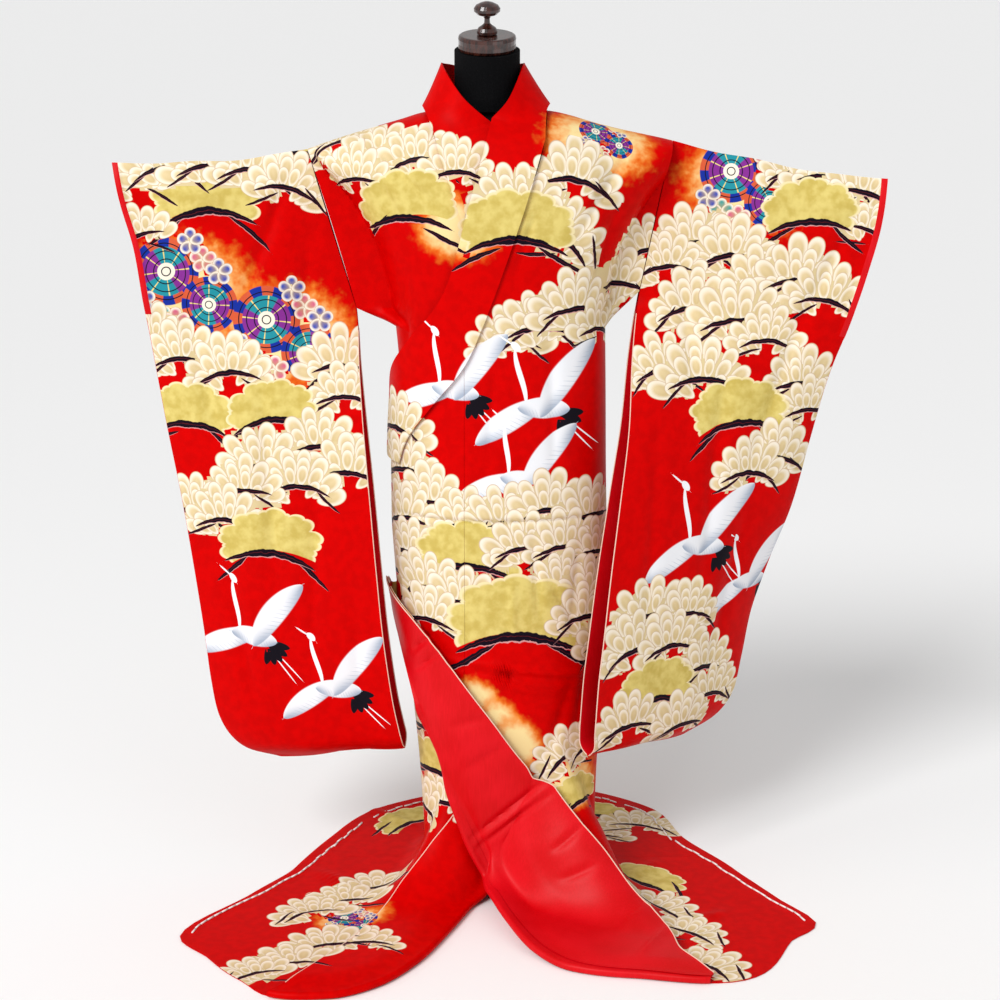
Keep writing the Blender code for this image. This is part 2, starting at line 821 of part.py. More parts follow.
def collar(name, finish):
    """The collar band: up the upper front, round the neck and down the under front."""
    upper = collar_front(UPPER_COLLAR, UPPER_LIFT_CHEST)
    under = list(reversed(collar_front(UNDER_COLLAR, UNDER_LIFT - UNDER_COLLAR_DROP)))
    free = [upper[-1][-1]]
    seam = [upper[-1][0]]
    for i in range(len(NECK_COLLAR["free_x"])):
        station = {column: values[i] for column, values in NECK_COLLAR.items()}
        free.append(Vector((station["free_x"], station["free_y"], station["free_z"])))
        top = shoulder_top(station["seam_x"], station["seam_y"]) + NECK_RISE
        seam.append(Vector((station["seam_x"], station["seam_y"], top)))
    free.append(under[0][-1])
    seam.append(under[0][0])
    rows = upper[:-1]
    for inner, outer in zip(spline(seam, 2), spline(free, 2)):
        inner.z = max(inner.z, shoulder_top(inner.x, inner.y) + NECK_RISE)
        rows.append([inner.lerp(outer, t) for t in spread(0.0, 1.0, COLLAR_CELLS)])
    rows += under[1:]
    places = {(i, j): point for i, row in enumerate(rows) for j, point in enumerate(row)}
    return sheet(name, places, finish, COLLAR_WALL)


# ---- the sleeves ----------------------------------------------------------------------
SLEEVE_COLUMNS = 8
SLEEVE_ROWS = 18
CUFF_ROW = 3.2
ARMHOLE_STEPS = 3
SLEEVE_WIDTH = 0.35


def sleeve_surface(data, side):
    """A point of a sleeve by its step down, its share outwards and its wall (-1 is front)."""
    curves = {name: along(data, "step", name) for name in data if name != "step"}
    last = len(data["step"]) - 1
    armhole = ARMHOLE[side]

    def place(step, out, wall):
        inner = Vector([curves[f"inner_{axis}"](step) for axis in "xyz"])
        if step < ARMHOLE_STEPS:
            inner.x = mix(armhole["top_x"], armhole["low_x"], step / ARMHOLE_STEPS)
            inner.z = mix(armhole["top_z"], armhole["low_z"], step / ARMHOLE_STEPS)
        outer = Vector([curves[f"outer_{axis}"](step) for axis in "xyz"])
        middle = inner.lerp(outer, out)
        sag = 0.010 * math.sin(math.pi * out) * (1 - ramp(step, 0, 2))
        middle.z -= sag
        ahead = Vector((outer.y - inner.y, inner.x - outer.x, 0.0)).normalized()
        if ahead.y > 0:
            ahead.negate()
        top = 1 - ramp(step, 0, 0.8)
        low = 1 - ramp(step, last, last - 1.6)
        hang = ramp(step, 2.5, 6)
        at_armhole = mix(WING_HALF_DEPTH, 0.020, hang)
        sewn = ramp(step, CUFF_ROW - 0.4, CUFF_ROW + 0.4)
        at_cuff = mix(0.011, SLEEVE_SEWN_HALF_DEPTH, sewn)
        swell = math.sin(math.pi * out) ** 0.8
        half = mix(mix(at_armhole, at_cuff, out), SLEEVE_HALF_DEPTH, swell * 0.85)
        half *= math.sqrt((1 - top) * (1 - low))
        return middle - ahead * wall * max(half, SLEEVE_SEWN_HALF_DEPTH)

    return place


def sleeve_wall(name, side, data, wall, finish):
    """The front or the back of a long sleeve, from its top fold to its sewn bottom."""
    place = sleeve_surface(data, side)
    last = len(data["step"]) - 1
    steps = [0.0, 0.25, 0.7] + spread(1.3, last - 1.2, SLEEVE_ROWS - 6) + [last - 0.7, last - 0.3, last]
    shares = spread(2 * SEAM_GAP / SLEEVE_WIDTH, 1.0, SLEEVE_COLUMNS)
    places = {(i, j): place(step, out, wall) for i, step in enumerate(steps) for j, out in enumerate(shares)}
    return sheet(name, places, finish)


# ---- the dress form -------------------------------------------------------------------
FORM_SIDES = 36


def form_body(name, finish):
    """The torso, its shoulders and its neck in one smooth closed body."""
    rings = [(wide, deep, height, height) for height, wide, deep in zip(*TORSO.values())]
    for wide, deep in zip(*SHOULDERS.values()):
        right = ridge_height(-wide) - FORM_CLEARANCE
        left = ridge_height(wide) - FORM_CLEARANCE
        rings.append((wide, deep, right, left))
    rings += [(NECK_RADIUS, NECK_RADIUS, height, height) for height in (1.425, 1.455, 1.485)]
    points = []
    for wide, deep, right, left in rings:
        for i in range(FORM_SIDES):
            turn = 2 * math.pi * i / FORM_SIDES
            x = wide * math.cos(turn)
            y = deep * math.sin(turn)
            points.append(Vector((x, y, mix(right, left, (1 + math.cos(turn)) / 2))))
    for i in range(FORM_SIDES):
        turn = 2 * math.pi * i / FORM_SIDES
        x = NECK_RADIUS * math.cos(turn)
        y = NECK_RADIUS * math.sin(turn)
        points.append(Vector((x, y, NECK_TOP + y * math.tan(NECK_TILT))))
    count = len(points) // FORM_SIDES
    faces = []
    for ring in range(count - 1):
        for i in range(FORM_SIDES):
            after = (i + 1) % FORM_SIDES
            low, high = ring * FORM_SIDES, (ring + 1) * FORM_SIDES
            faces.append((low + i, low + after, high + after, high + i))
    faces.append(tuple(reversed(range(FORM_SIDES))))
    faces.append(tuple((count - 1) * FORM_SIDES + i for i in range(FORM_SIDES)))
    made = add_object(name, points, faces, finish)
    made.data.set_sharp_from_angle(angle=math.radians(50))
    return made


def on_neck(piece):
    """Stands a turned piece on the neck's sloping top."""
    piece.matrix_world = Matrix.Translation((0, 0, NECK_TOP)) @ Matrix.Rotation(NECK_TILT, 4, "X")
    return piece


def build():
    clear_scene()
    silk = material("painted_silk", (0.72, 0.010, 0.012), 0.45)
    lining = material("lining_silk", (0.80, 0.008, 0.020), 0.40)
    velvet = material("form_velvet", (0.012, 0.012, 0.014), 0.95)
    mahogany = material("cap_wood", (0.060, 0.014, 0.010), 0.22)
    steel = material("stand_metal", (0.030, 0.030, 0.032), 0.45, 0.8)

    seam = UPPER_OVERLAP_ANGLE
    flap_angles = spread(-18, 36, 8)
    side_angles = spread(36, 90 - SEAM_ANGLE, 4)[1:]
    front_angles = [seam + SEAM_ANGLE] + flap_angles + side_angles
    body_strip("body_left", 1, front_angles, 36, upper_seam, upper_limit, upper_lift, silk)
    place = fold_and_edge(UPPER_FLAP, upper_limit)
    angles = spread(-97, seam - SEAM_ANGLE, 9) + flap_angles
    panel = overlap_panel("overlap_left", angles, (-97, seam), (-90, 36), UPPER_OVERLAP_TOP,
                          upper_limit, place, upper_lift, silk)
    flap_lining("lining_front_left", panel, lining)

    seam = UNDER_OVERLAP_ANGLE
    flap_angles = [-35.5, -29.0, -24.0, -20.5, -18.2, -16.3, -14.2, -10.0, -4.0, 2.0]
    side_angles = spread(-35.5, SEAM_ANGLE - 90, 3)[1:]
    front_angles = [seam - SEAM_ANGLE] + list(reversed(flap_angles)) + side_angles
    body_strip("body_right", -1, front_angles, 35.5, under_seam, under_limit, under_lift, silk)
    place = fold_and_edge(UNDER_FLAP, under_limit)
    angles = flap_angles + spread(seam + SEAM_ANGLE, 55, 7)
    panel = overlap_panel("overlap_right", angles, (seam, 55), (-35.5, 17), UNDER_OVERLAP_TOP,
                          under_limit, place, under_lift, silk)
    flap_lining("lining_front_right", panel, lining)

    collar("collar", silk)
    for wall, half_name in ((-1, "front"), (1, "back")):
        sleeve_wall(f"sleeve_right_{half_name}", -1, RIGHT_SLEEVE, wall, silk)
        sleeve_wall(f"sleeve_left_{half_name}", 1, LEFT_SLEEVE, wall, silk)

    form_body("form_body", velvet)
    on_neck(turned("form_cap", CAP_PROFILE, mahogany))
    on_neck(turned("form_finial", FINIAL_PROFILE, mahogany, 24))
    pole = ((POLE_RADIUS, BASE_HEIGHT + SEAM_GAP), (POLE_RADIUS, TORSO_BOTTOM - SEAM_GAP))
    turned("stand_pole", pole, steel, 24)
    turned("stand_base", BASE_PROFILE, steel, 48)


if __name__ == "__main__":
    build()
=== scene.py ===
"""Looks of a long-sleeved wedding kimono worn by a limbless dress form."""
import math

import bpy
import numpy as np
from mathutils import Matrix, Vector


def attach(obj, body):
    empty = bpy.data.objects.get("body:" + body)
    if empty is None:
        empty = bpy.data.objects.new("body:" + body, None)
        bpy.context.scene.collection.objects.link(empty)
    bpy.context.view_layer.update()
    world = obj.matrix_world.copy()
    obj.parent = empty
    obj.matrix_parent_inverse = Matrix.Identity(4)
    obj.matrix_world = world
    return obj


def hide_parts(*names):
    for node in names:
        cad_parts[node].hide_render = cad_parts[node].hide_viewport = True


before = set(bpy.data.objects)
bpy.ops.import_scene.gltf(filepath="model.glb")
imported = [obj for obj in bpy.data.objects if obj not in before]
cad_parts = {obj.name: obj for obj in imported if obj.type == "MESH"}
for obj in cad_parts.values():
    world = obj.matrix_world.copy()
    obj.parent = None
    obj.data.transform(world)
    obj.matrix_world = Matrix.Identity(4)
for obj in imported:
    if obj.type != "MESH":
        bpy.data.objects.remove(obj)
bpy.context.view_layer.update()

# ---- body halves ----------------------------------------------------------------------
# The garment's two main panels, each one width of painted silk that runs from the back
# hem over the shoulder to the front hem.  They meet in the centre-back seam.  The silk is
# a heavy satin, dyed red and painted, and it hangs and spreads on the floor by itself.


def table(columns, *rows):
    """A table with named columns: each name leads to the array of its values."""
    return dict(zip(columns.split(), np.array(rows).T))


def along(data, key, column):
    """Smooth curve through one column of a table, with no overshoot between its rows."""
    x, y = np.array(data[key], float), np.array(data[column], float)
    step = np.diff(x)
    rise = np.diff(y) / step
    slope = np.concatenate(([rise[0]], np.zeros(len(x) - 2), [rise[-1]]))
    for i in range(1, len(x) - 1):
        if rise[i - 1] * rise[i] > 0:
            slope[i] = 2 * rise[i - 1] * rise[i] / (rise[i - 1] + rise[i])

    def value(at):
        at = np.asarray(at, float)
        i = np.clip(np.searchsorted(x, at) - 1, 0, len(step) - 1)
        t = np.clip((at - x[i]) / step[i], 0, 1)
        ease = t * t * (3 - 2 * t)
        into = t * (1 - t) ** 2 * step[i] * slope[i]
        out = t * t * (t - 1) * step[i] * slope[i + 1]
        return y[i] * (1 - ease) + y[i + 1] * ease + into + out

    return value


def ramp(value, start, end):
    """0 at start, 1 at end, smooth in between."""
    t = np.clip((np.asarray(value, float) - start) / (end - start), 0, 1)
    return t * t * (3 - 2 * t)


def mix(a, b, t):
    """a where t is 0, b where t is 1."""
    return a + (b - a) * t


# Metres and degrees.  x runs to the wearer's left, y to the back and z up; an angle is 0 at
# the front, and a run is a distance along the cloth, down from the underarm.
BODY = table(
    "height left right front back",
    (0.00, 0.140, 0.158, 0.122, 0.112),
    (0.12, 0.144, 0.163, 0.122, 0.112),
    (0.22, 0.150, 0.167, 0.122, 0.114),
    (0.33, 0.160, 0.175, 0.126, 0.118),
    (0.44, 0.168, 0.186, 0.126, 0.124),
    (0.58, 0.178, 0.194, 0.126, 0.130),
    (0.69, 0.184, 0.190, 0.126, 0.130),
    (0.80, 0.184, 0.187, 0.125, 0.124),
    (0.95, 0.178, 0.185, 0.124, 0.118),
    (1.05, 0.185, 0.183, 0.124, 0.116),
)

RIDGE = table(
    "x height",
    (-0.330, 1.332),
    (-0.312, 1.338),
    (-0.247, 1.361),
    (-0.150, 1.389),
    (-0.105, 1.402),
    (0.000, 1.412),
    (0.105, 1.404),
    (0.195, 1.381),
    (0.275, 1.363),
    (0.321, 1.353),
    (0.340, 1.349),
)

CORE = table(
    "height half_width half_depth",
    (1.05, 0.184, 0.124),
    (1.15, 0.205, 0.126),
    (1.25, 0.255, 0.122),
    (1.33, 0.320, 0.112),
    (1.42, 0.360, 0.100),
)

BEND = table(
    "angle radius",
    (-180, 0.050),
    (-95, 0.050),
    (-75, 0.070),
    (-58, 0.150),
    (-42, 0.250),
    (-28, 0.200),
    (-12, 0.100),
    (8, 0.120),
    (25, 0.220),
    (42, 0.340),
    (58, 0.200),
    (75, 0.080),
    (95, 0.055),
    (180, 0.050),
)

UNDER_LIMIT = table(
    "angle run",
    (-180, 1.270),
    (-151, 1.235),
    (-127, 1.232),
    (-111, 1.228),
    (-83, 1.274),
    (-70.6, 1.358),
    (-59.3, 1.498),
    (-50.6, 1.464),
    (-42.4, 1.453),
    (-36, 1.469),
    (-27.5, 1.441),
    (-22, 1.388),
    (-18.4, 1.299),
    (-16.3, 1.187),
    (-14, 1.102),
    (-7.5, 1.055),
    (0, 0.960),
    (10, 0.850),
    (20, 0.760),
    (38, 0.600),
    (55, 0.450),
)

UPPER_LIMIT = table(
    "angle run",
    (-97, 0.455),
    (-88, 0.505),
    (-80, 0.545),
    (-71.8, 0.585),
    (-62, 0.636),
    (-49.2, 0.711),
    (-39.9, 0.780),
    (-33.8, 0.865),
    (-26.1, 0.952),
    (-5.9, 1.087),
    (3.4, 1.191),
    (9, 1.268),
    (15.6, 1.321),
    (26.7, 1.346),
    (36, 1.380),
    (40.8, 1.395),
    (55.9, 1.418),
    (63.9, 1.458),
    (70.5, 1.393),
    (82.7, 1.311),
    (105.7, 1.239),
    (127, 1.268),
    (150, 1.271),
    (180, 1.270),
)

UPPER_SEAM = table(
    "height angle",
    (0.80, -70),
    (0.83, -64),
    (0.91, -46),
    (0.985, -25),
    (1.083, -8),
    (1.227, 15),
    (1.353, 33),
    (1.410, 36),
)

UNDER_SEAM = table(
    "height angle",
    (0.80, 30),
    (0.86, 26),
    (0.93, 18),
    (1.00, 8),
    (1.083, -6),
    (1.227, -26),
    (1.353, -45),
    (1.410, -50),
)

BACK_NECK = table(
    "height x",
    (1.366, 0.000),
    (1.377, 0.034),
    (1.396, 0.086),
    (1.406, 0.102),
)

UNDERARM = 1.05
LOW_CHEST = 1.062
NECK_LOW = 1.366
NECK_SIDE = 0.104
CENTRE_X = 0.021
ROUNDNESS = 2.3
SHOULDER_EDGE = 0.009
CLOTH_HEIGHT = 0.0016
WALL = 0.0016
LIFT_CHEST = 0.0118
LIFT_HIP = 0.0295
TURN = 0.0058
UPPER_OVERLAP = -26.0
UNDER_OVERLAP = 8.0
SEAM_ANGLE = 0.04
SEAM_GAP = 0.0004
PROBE_ANGLE = 12
PROBE_RUN = 0.002
PROBE = 0.004

left_of = along(BODY, "height", "left")
right_of = along(BODY, "height", "right")
front_of = along(BODY, "height", "front")
back_of = along(BODY, "height", "back")
ridge = along(RIDGE, "x", "height")
core_width = along(CORE, "height", "half_width")
core_depth = along(CORE, "height", "half_depth")
bend_of = along(BEND, "angle", "radius")
under_limit = along(UNDER_LIMIT, "angle", "run")
upper_limit = along(UPPER_LIMIT, "angle", "run")
upper_seam = along(UPPER_SEAM, "height", "angle")
under_seam = along(UNDER_SEAM, "height", "angle")
back_neck = along(BACK_NECK, "height", "x")


def unit(vectors):
    """The same directions with a length of 1."""
    return vectors / np.maximum(np.linalg.norm(vectors, axis=-1, keepdims=True), 1e-9)


def body_radius(angle, height):
    """Distance from the centre line to the wrapped body at an angle and a height."""
    side, ahead = np.sin(np.radians(angle)), np.cos(np.radians(angle))
    wide = np.where(side > 0, right_of(height), left_of(height))
    deep = np.where(ahead > 0, front_of(height), back_of(height))
    return (np.abs(side / wide) ** ROUNDNESS + np.abs(ahead / deep) ** ROUNDNESS) ** (-1 / ROUNDNESS)


def skirt_place(angle, run):
    """A point of the skirt: down the body, round the bend, along the floor."""
    bend = bend_of(angle)
    straight = UNDERARM - bend
    turn = np.clip((run - straight) / bend, 0, math.pi / 2)
    height = np.where(run <= straight, UNDERARM - run, bend * (1 - np.sin(turn)))
    out = bend * (1 - np.cos(turn)) + np.maximum(0, run - straight - bend * math.pi / 2)
    radius = body_radius(angle, height) + out
    x = CENTRE_X + radius * np.sin(np.radians(angle))
    return np.stack([x, -radius * np.cos(np.radians(angle)), height + CLOTH_HEIGHT], -1)


def skirt(angle, run, lift=0.0):
    """A point of the skirt, lifted off the base surface."""
    angle, run, lift = np.broadcast_arrays(np.asarray(angle, float), run, lift)
    across = skirt_place(angle + PROBE_ANGLE, run) - skirt_place(angle - PROBE_ANGLE, run)
    down = skirt_place(angle, run + PROBE_RUN) - skirt_place(angle, run - PROBE_RUN)
    return skirt_place(angle, run) + unit(np.cross(down, across)) * lift[..., None]


def chest_place(x, drop, facing):
    """A point of the chest (facing -1) or the back (facing 1), by its drop below the ridge."""
    height = ridge(x) - drop
    inside = np.maximum(0, 1 - (np.abs(x - CENTRE_X) / core_width(height)) ** ROUNDNESS)
    core = core_depth(height) * inside ** (1 / ROUNDNESS)
    full = (core ** 4 + SHOULDER_EDGE ** 4) ** 0.25
    reach = np.minimum(1, drop / (0.02 + full / 1.2))
    return np.stack([x, facing * full * np.sqrt(reach * (2 - reach)), height], -1)


def chest(x, height, facing, lift=0.0):
    """A point of the chest or back at a height, lifted off its surface."""
    x, height, lift = np.broadcast_arrays(np.asarray(x, float), height, lift)
    drop = np.maximum(0, ridge(x) - height)
    down = chest_place(x, drop + PROBE, facing) - chest_place(x, np.maximum(drop - PROBE, 0), facing)
    across = chest_place(x + PROBE, drop, facing) - chest_place(x - PROBE, drop, facing)
    return chest_place(x, drop, facing) + unit(np.cross(down, across)) * -facing * lift[..., None]


def front(angle, height, lift=0.0):
    """A point of the front by its angle and height, above or below the underarm."""
    angle, height = np.broadcast_arrays(np.asarray(angle, float), np.asarray(height, float))
    x = CENTRE_X + body_radius(angle, UNDERARM) * np.sin(np.radians(angle))
    low = skirt(angle, UNDERARM - np.minimum(height, UNDERARM), lift)
    high = chest(x, np.maximum(height, UNDERARM), -1, lift)
    return np.where((height < UNDERARM)[..., None], low, high)


def upper_lift(angle, run):
    """How far the upper layer stands off the base surface."""
    grounded = ramp(run, 0.95, 1.15) * ramp(angle, -3, 14)
    return mix(mix(LIFT_CHEST, LIFT_HIP, ramp(run, 0.55, 0.75)) * ramp(angle, 100, 62), 0.0, grounded)


def under_lift(angle, run):
    """The under layer lies on the base surface itself."""
    return 0.0 * np.asarray(run, float)


ARMHOLE = {
    -1: {"top_x": -0.312, "top_z": 1.338, "low_x": -0.232, "low_z": 1.062},
    1: {"top_x": 0.321, "top_z": 1.353, "low_x": 0.268, "low_z": 1.092},
}


def body_grid(side, overlap, folded_to, seam, limit, lift, columns=60):
    """Rows from the back hem over the shoulder to the front hem, columns to the side seam."""
    t = np.linspace(0, 1, columns)
    armhole = ARMHOLE[side]

    def skirt_part(angles, count):
        runs = mix(0.02, limit(angles), np.linspace(0, 1, count)[:, None])
        runs[-1] -= 0.010 * ramp(side * angles, folded_to, folded_to - 8)
        return skirt(angles[None, :], runs, lift(angles[None, :], runs))

    def back_x(level):
        low = mix(CENTRE_X, 0.0, ramp(level, 1.10, 1.33)) + side * SEAM_GAP
        return np.where(level > NECK_LOW, side * (back_neck(level) + SEAM_GAP), low)

    def front_x(level):
        angle = seam(level)
        tuck = 0.006 * (1 - ramp(level, 1.15, 1.25))
        return CENTRE_X + body_radius(angle, UNDERARM) * np.sin(np.radians(angle)) - side * tuck

    def chest_part(facing, inner_x, off):
        share = np.concatenate((np.linspace(0, 1, 9)[:-1] ** 2 * 0.12, np.linspace(0.12, 1, 30)))[:, None]
        outer_x = mix(armhole["top_x"], armhole["low_x"], share) - side * SEAM_GAP
        level = mix(float(ridge(side * NECK_SIDE)), LOW_CHEST, share)
        x = mix(inner_x(level), outer_x, t[None, :])
        height = mix(ridge(x), mix(LOW_CHEST, armhole["low_z"], t[None, :] ** 3), share)
        return chest(x, height, facing, off * (1 - ramp(x, 0.17, 0.215)) * ramp(share, 0, 0.3))

    def joined(chest_rows, skirt_rows):
        steps = np.linspace(0, 1, 5)[1:-1, None, None]
        return np.concatenate((chest_rows, mix(chest_rows[-1:], skirt_rows[:1], steps), skirt_rows))

    back_angles = side * np.linspace(180 - SEAM_ANGLE, 90 + SEAM_ANGLE, columns)
    front_angles = np.linspace(overlap + side * SEAM_ANGLE, side * (90 - SEAM_ANGLE), columns)
    back = joined(chest_part(1, back_x, 0.0), skirt_part(back_angles, 170))
    ahead = joined(chest_part(-1, front_x, float(lift(0, 0))), skirt_part(front_angles, 300))
    return np.concatenate((back[::-1][:-1], ahead))


def grid_normals(grid):
    """The direction across the cloth at each point of a grid."""
    down = np.gradient(grid, axis=0)
    across = np.gradient(grid, axis=1)
    return unit(np.cross(down, across))


def pressed(grid, outward, *tables):
    """Presses soft troughs and ridges into a grid.

    A crease runs from (x0, z0) to (x1, z1) as seen from the front, from the back where its
    side is 1, or from (x0, y0) to (x1, y1) as seen from above where it is 0.  Its depth is
    positive for a trough.
    """
    moved = grid.copy()
    for x0, z0, x1, z1, width, depth, side in (row for creases in tables for row in zip(*creases.values())):
        start, end = np.array((x0, z0)), np.array((x1, z1))
        flat = grid[..., [0, 2 if side else 1]] - start
        line = end - start
        share = np.clip((flat @ line) / (line @ line), 0, 1)
        away = np.linalg.norm(flat - share[..., None] * line, axis=-1)
        weight = np.exp(-(away / width) ** 1.5) * np.sin(math.pi * np.clip(share * 0.96 + 0.02, 0, 1)) ** 0.7
        facing = outward[..., 1] * side if side else outward[..., 2]
        weight *= np.clip(facing * 4, 0, 1)
        moved -= outward * (weight * depth)[..., None]
    return moved


def waved(grid, outward, height, seed):
    """Slow waves of a cloth that hangs by itself."""
    x, y, z = grid[..., 0], grid[..., 1], grid[..., 2]
    slow = np.sin(23 * x + 9 * z + seed) * np.sin(7 * z + 3 * seed)
    quick = np.sin(41 * x + 13 * y - 5 * z + 2 * seed)
    return grid + outward * ((slow + 0.6 * quick) * height / 1.6)[..., None]


walls = {}
HANG_WAVE = 0.0010
HANG_SEED = 1.0


def cloth(name, grid, outward, finishes, wall=WALL, wrap=False, extra=(), lined=None):
    """A thin shell's middle surface from a grid of points; missing points are not numbers.

    Lined marks the grid points that show the second finish on the outside.
    """
    rows, columns = grid.shape[:2]
    index = np.arange(rows * columns).reshape(rows, columns)
    below = np.roll(index, -1, axis=0) if wrap else index[1:]
    above = index if wrap else index[:-1]
    quads = np.stack([above[:, :-1], above[:, 1:], below[:, 1:], below[:, :-1]], -1).reshape(-1, 4)
    quads = np.concatenate([quads, *extra]) if len(extra) else quads
    points = grid.reshape(-1, 3)
    quads = quads[np.isfinite(points[quads]).all((1, 2))]
    plain = lined.ravel()[quads].all(1) if lined is not None else np.zeros(len(quads), bool)
    corners = points[quads]
    normal = np.cross(corners[:, 2] - corners[:, 0], corners[:, 3] - corners[:, 1])
    turned = (normal * outward.reshape(-1, 3)[quads[:, 0]]).sum(-1) < 0
    if turned.sum() > len(turned) / 2:
        quads = quads[:, ::-1]
    used = np.unique(quads)
    renumber = np.zeros(len(points), int)
    renumber[used] = np.arange(len(used))
    mesh = bpy.data.meshes.new(name)
    mesh.from_pydata(points[used].tolist(), [], renumber[quads].tolist())
    mesh.shade_smooth()
    piece = bpy.data.objects.new(name, mesh)
    bpy.context.scene.collection.objects.link(piece)
    for finish in finishes:
        mesh.materials.append(finish)
    mesh.polygons.foreach_set("material_index", plain.astype(np.int32))
    walls[name] = wall
    return piece


def plain_finish(name, colour, rough):
    """A material of one colour, with a weak gloss."""
    made = bpy.data.materials.new(name)
    made.use_nodes = True
    shader = made.node_tree.nodes["Principled BSDF"]
    shader.inputs["Base Color"].default_value = (*colour, 1)
    shader.inputs["Roughness"].default_value = rough
    shader.inputs["Specular IOR Level"].default_value = 0.08
    return made


painted_silk = plain_finish("painted silk", (0.62, 0.004, 0.006), 0.45)
red_lining = plain_finish("red lining", (0.62, 0.0, 0.003), 0.42)

BODY_CREASES = table(
    "x0 z0 x1 z1 width depth side",
    (0.010, 0.450, 0.045, 0.432, 0.0300, -0.0035, -1),
    (0.056, 1.246, 0.028, 1.160, 0.0052, 0.0053, -1),
    (0.070, 1.240, 0.044, 1.164, 0.0046, -0.0022, -1),
    (0.080, 1.236, 0.052, 1.150, 0.0052, 0.0047, -1),
    (-0.221, 1.380, -0.080, 1.237, 0.0103, 0.0087, -1),
    (-0.190, 1.375, -0.095, 1.270, 0.0069, -0.0029, -1),
    (-0.205, 1.330, -0.130, 1.180, 0.0103, 0.0062, -1),
    (0.245, 1.345, 0.150, 1.190, 0.0115, 0.0081, -1),
    (0.225, 1.250, 0.175, 1.080, 0.0103, 0.0068, -1),
    (-0.150, 1.130, -0.135, 0.900, 0.0115, 0.0056, -1),
    (0.105, 1.120, 0.120, 0.760, 0.0115, 0.0053, -1),
    (0.015, 1.000, -0.005, 0.760, 0.0103, 0.0043, -1),
    (-0.165, 0.704, 0.215, 0.704, 0.0032, 0.0053, -1),
    (-0.165, 0.712, 0.215, 0.712, 0.0057, -0.0029, -1),
    (0.080, 0.690, 0.092, 0.520, 0.0080, 0.0053, -1),
    (0.044, 0.600, 0.046, 0.470, 0.0069, -0.0031, -1),
    (0.165, 0.660, 0.150, 0.480, 0.0092, 0.0056, -1),
    (0.105, 0.600, 0.160, 0.500, 0.0052, 0.0043, -1),
    (-0.075, 0.448, 0.190, 0.412, 0.0057, -0.0065, -1),
    (-0.060, 0.436, 0.180, 0.400, 0.0052, 0.0016, -1),
    (-0.050, 0.424, 0.165, 0.392, 0.0057, -0.0057, -1),
    (-0.020, 0.408, 0.130, 0.384, 0.0052, -0.0042, -1),
    (0.190, 0.470, 0.160, 0.300, 0.0092, 0.0078, -1),
    (0.150, 0.400, 0.110, 0.270, 0.0092, 0.0062, -1),
    (-0.190, 1.360, -0.090, 1.210, 0.0126, 0.0081, 1),
    (0.215, 1.350, 0.110, 1.190, 0.0126, 0.0081, 1),
    (-0.130, 1.150, -0.150, 0.760, 0.0149, 0.0071, 1),
    (0.120, 1.130, 0.150, 0.700, 0.0149, 0.0071, 1),
    (-0.060, 1.050, -0.050, 0.600, 0.0138, 0.0056, 1),
    (-0.110, 0.680, -0.125, 0.200, 0.0161, 0.0084, 1),
    (0.060, 0.900, 0.070, 0.420, 0.0138, 0.0062, 1),
    (0.130, 0.600, 0.150, 0.160, 0.0161, 0.0084, 1),
    (0.000, 0.560, 0.010, 0.120, 0.0149, 0.0071, 1),
    (-0.150, 0.704, 0.190, 0.704, 0.0032, 0.0053, 1),
    (-0.330, -0.060, -0.210, -0.160, 0.0103, -0.0044, 0),
    (-0.380, -0.250, -0.250, -0.230, 0.0103, -0.0044, 0),
    (0.330, -0.020, 0.230, -0.120, 0.0103, -0.0044, 0),
    (0.430, -0.230, 0.330, -0.280, 0.0103, -0.0044, 0),
    (0.300, 0.240, 0.180, 0.160, 0.0103, -0.0044, 0),
    (-0.250, 0.230, -0.140, 0.140, 0.0103, -0.0044, 0),
)


def facing_out(grid, row, column, direction):
    """The grid's normals, turned so that the one at a row and a column looks a known way."""
    outward = grid_normals(grid)
    return outward * np.sign(outward[row, column] @ np.array(direction, float))


halves = {}
for name, side, overlap, folded_to, seam, limit, lift in (
    ("body_left", 1, UPPER_OVERLAP, 36, upper_seam, upper_limit, upper_lift),
    ("body_right", -1, UNDER_OVERLAP, 35.5, under_seam, under_limit, under_lift),
):
    grid = body_grid(side, overlap, folded_to, seam, limit, lift)
    outward = facing_out(grid, -200, 30, (0, -1, 0))
    grid = waved(pressed(grid, outward, BODY_CREASES), outward, HANG_WAVE, HANG_SEED)
    halves[name] = cloth(name + "_cloth", grid, outward, (painted_silk, red_lining))


# ---- overlap panels -------------------------------------------------------------------
# A narrow panel sewn to each front edge, under the collar.  Below the hips both are turned
# back, which shows their red lining; the wearer's left front lies on top.
UNDER_FLAP = table(
    "fold_angle edge_angle edge_run",
    (-35.5, -34.8, 1.440),
    (-27.5, -34.9, 1.360),
    (-22, -35.2, 1.268),
    (-18.4, -37.4, 1.190),
    (-16.3, -39.5, 1.120),
    (-14, -41.0, 1.060),
    (-7.5, -39.2, 0.978),
    (0, -30.0, 0.880),
    (10, -10.0, 0.800),
    (18, 12.0, 0.765),
)

UPPER_FLAP = table(
    "fold_angle edge_angle edge_run",
    (-94, -90, 0.470),
    (-86, -78, 0.487),
    (-71.8, -60, 0.525),
    (-62, -42, 0.582),
    (-49.2, -18, 0.665),
    (-39.9, 6, 0.745),
    (-33.8, 24, 0.807),
    (-26.1, 36.5, 0.850),
    (-5.9, 41.2, 0.985),
    (3.4, 43.0, 1.080),
    (9, 43.8, 1.140),
    (15.6, 41.5, 1.210),
    (26.7, 37.5, 1.290),
    (36, 36.9, 1.373),
)

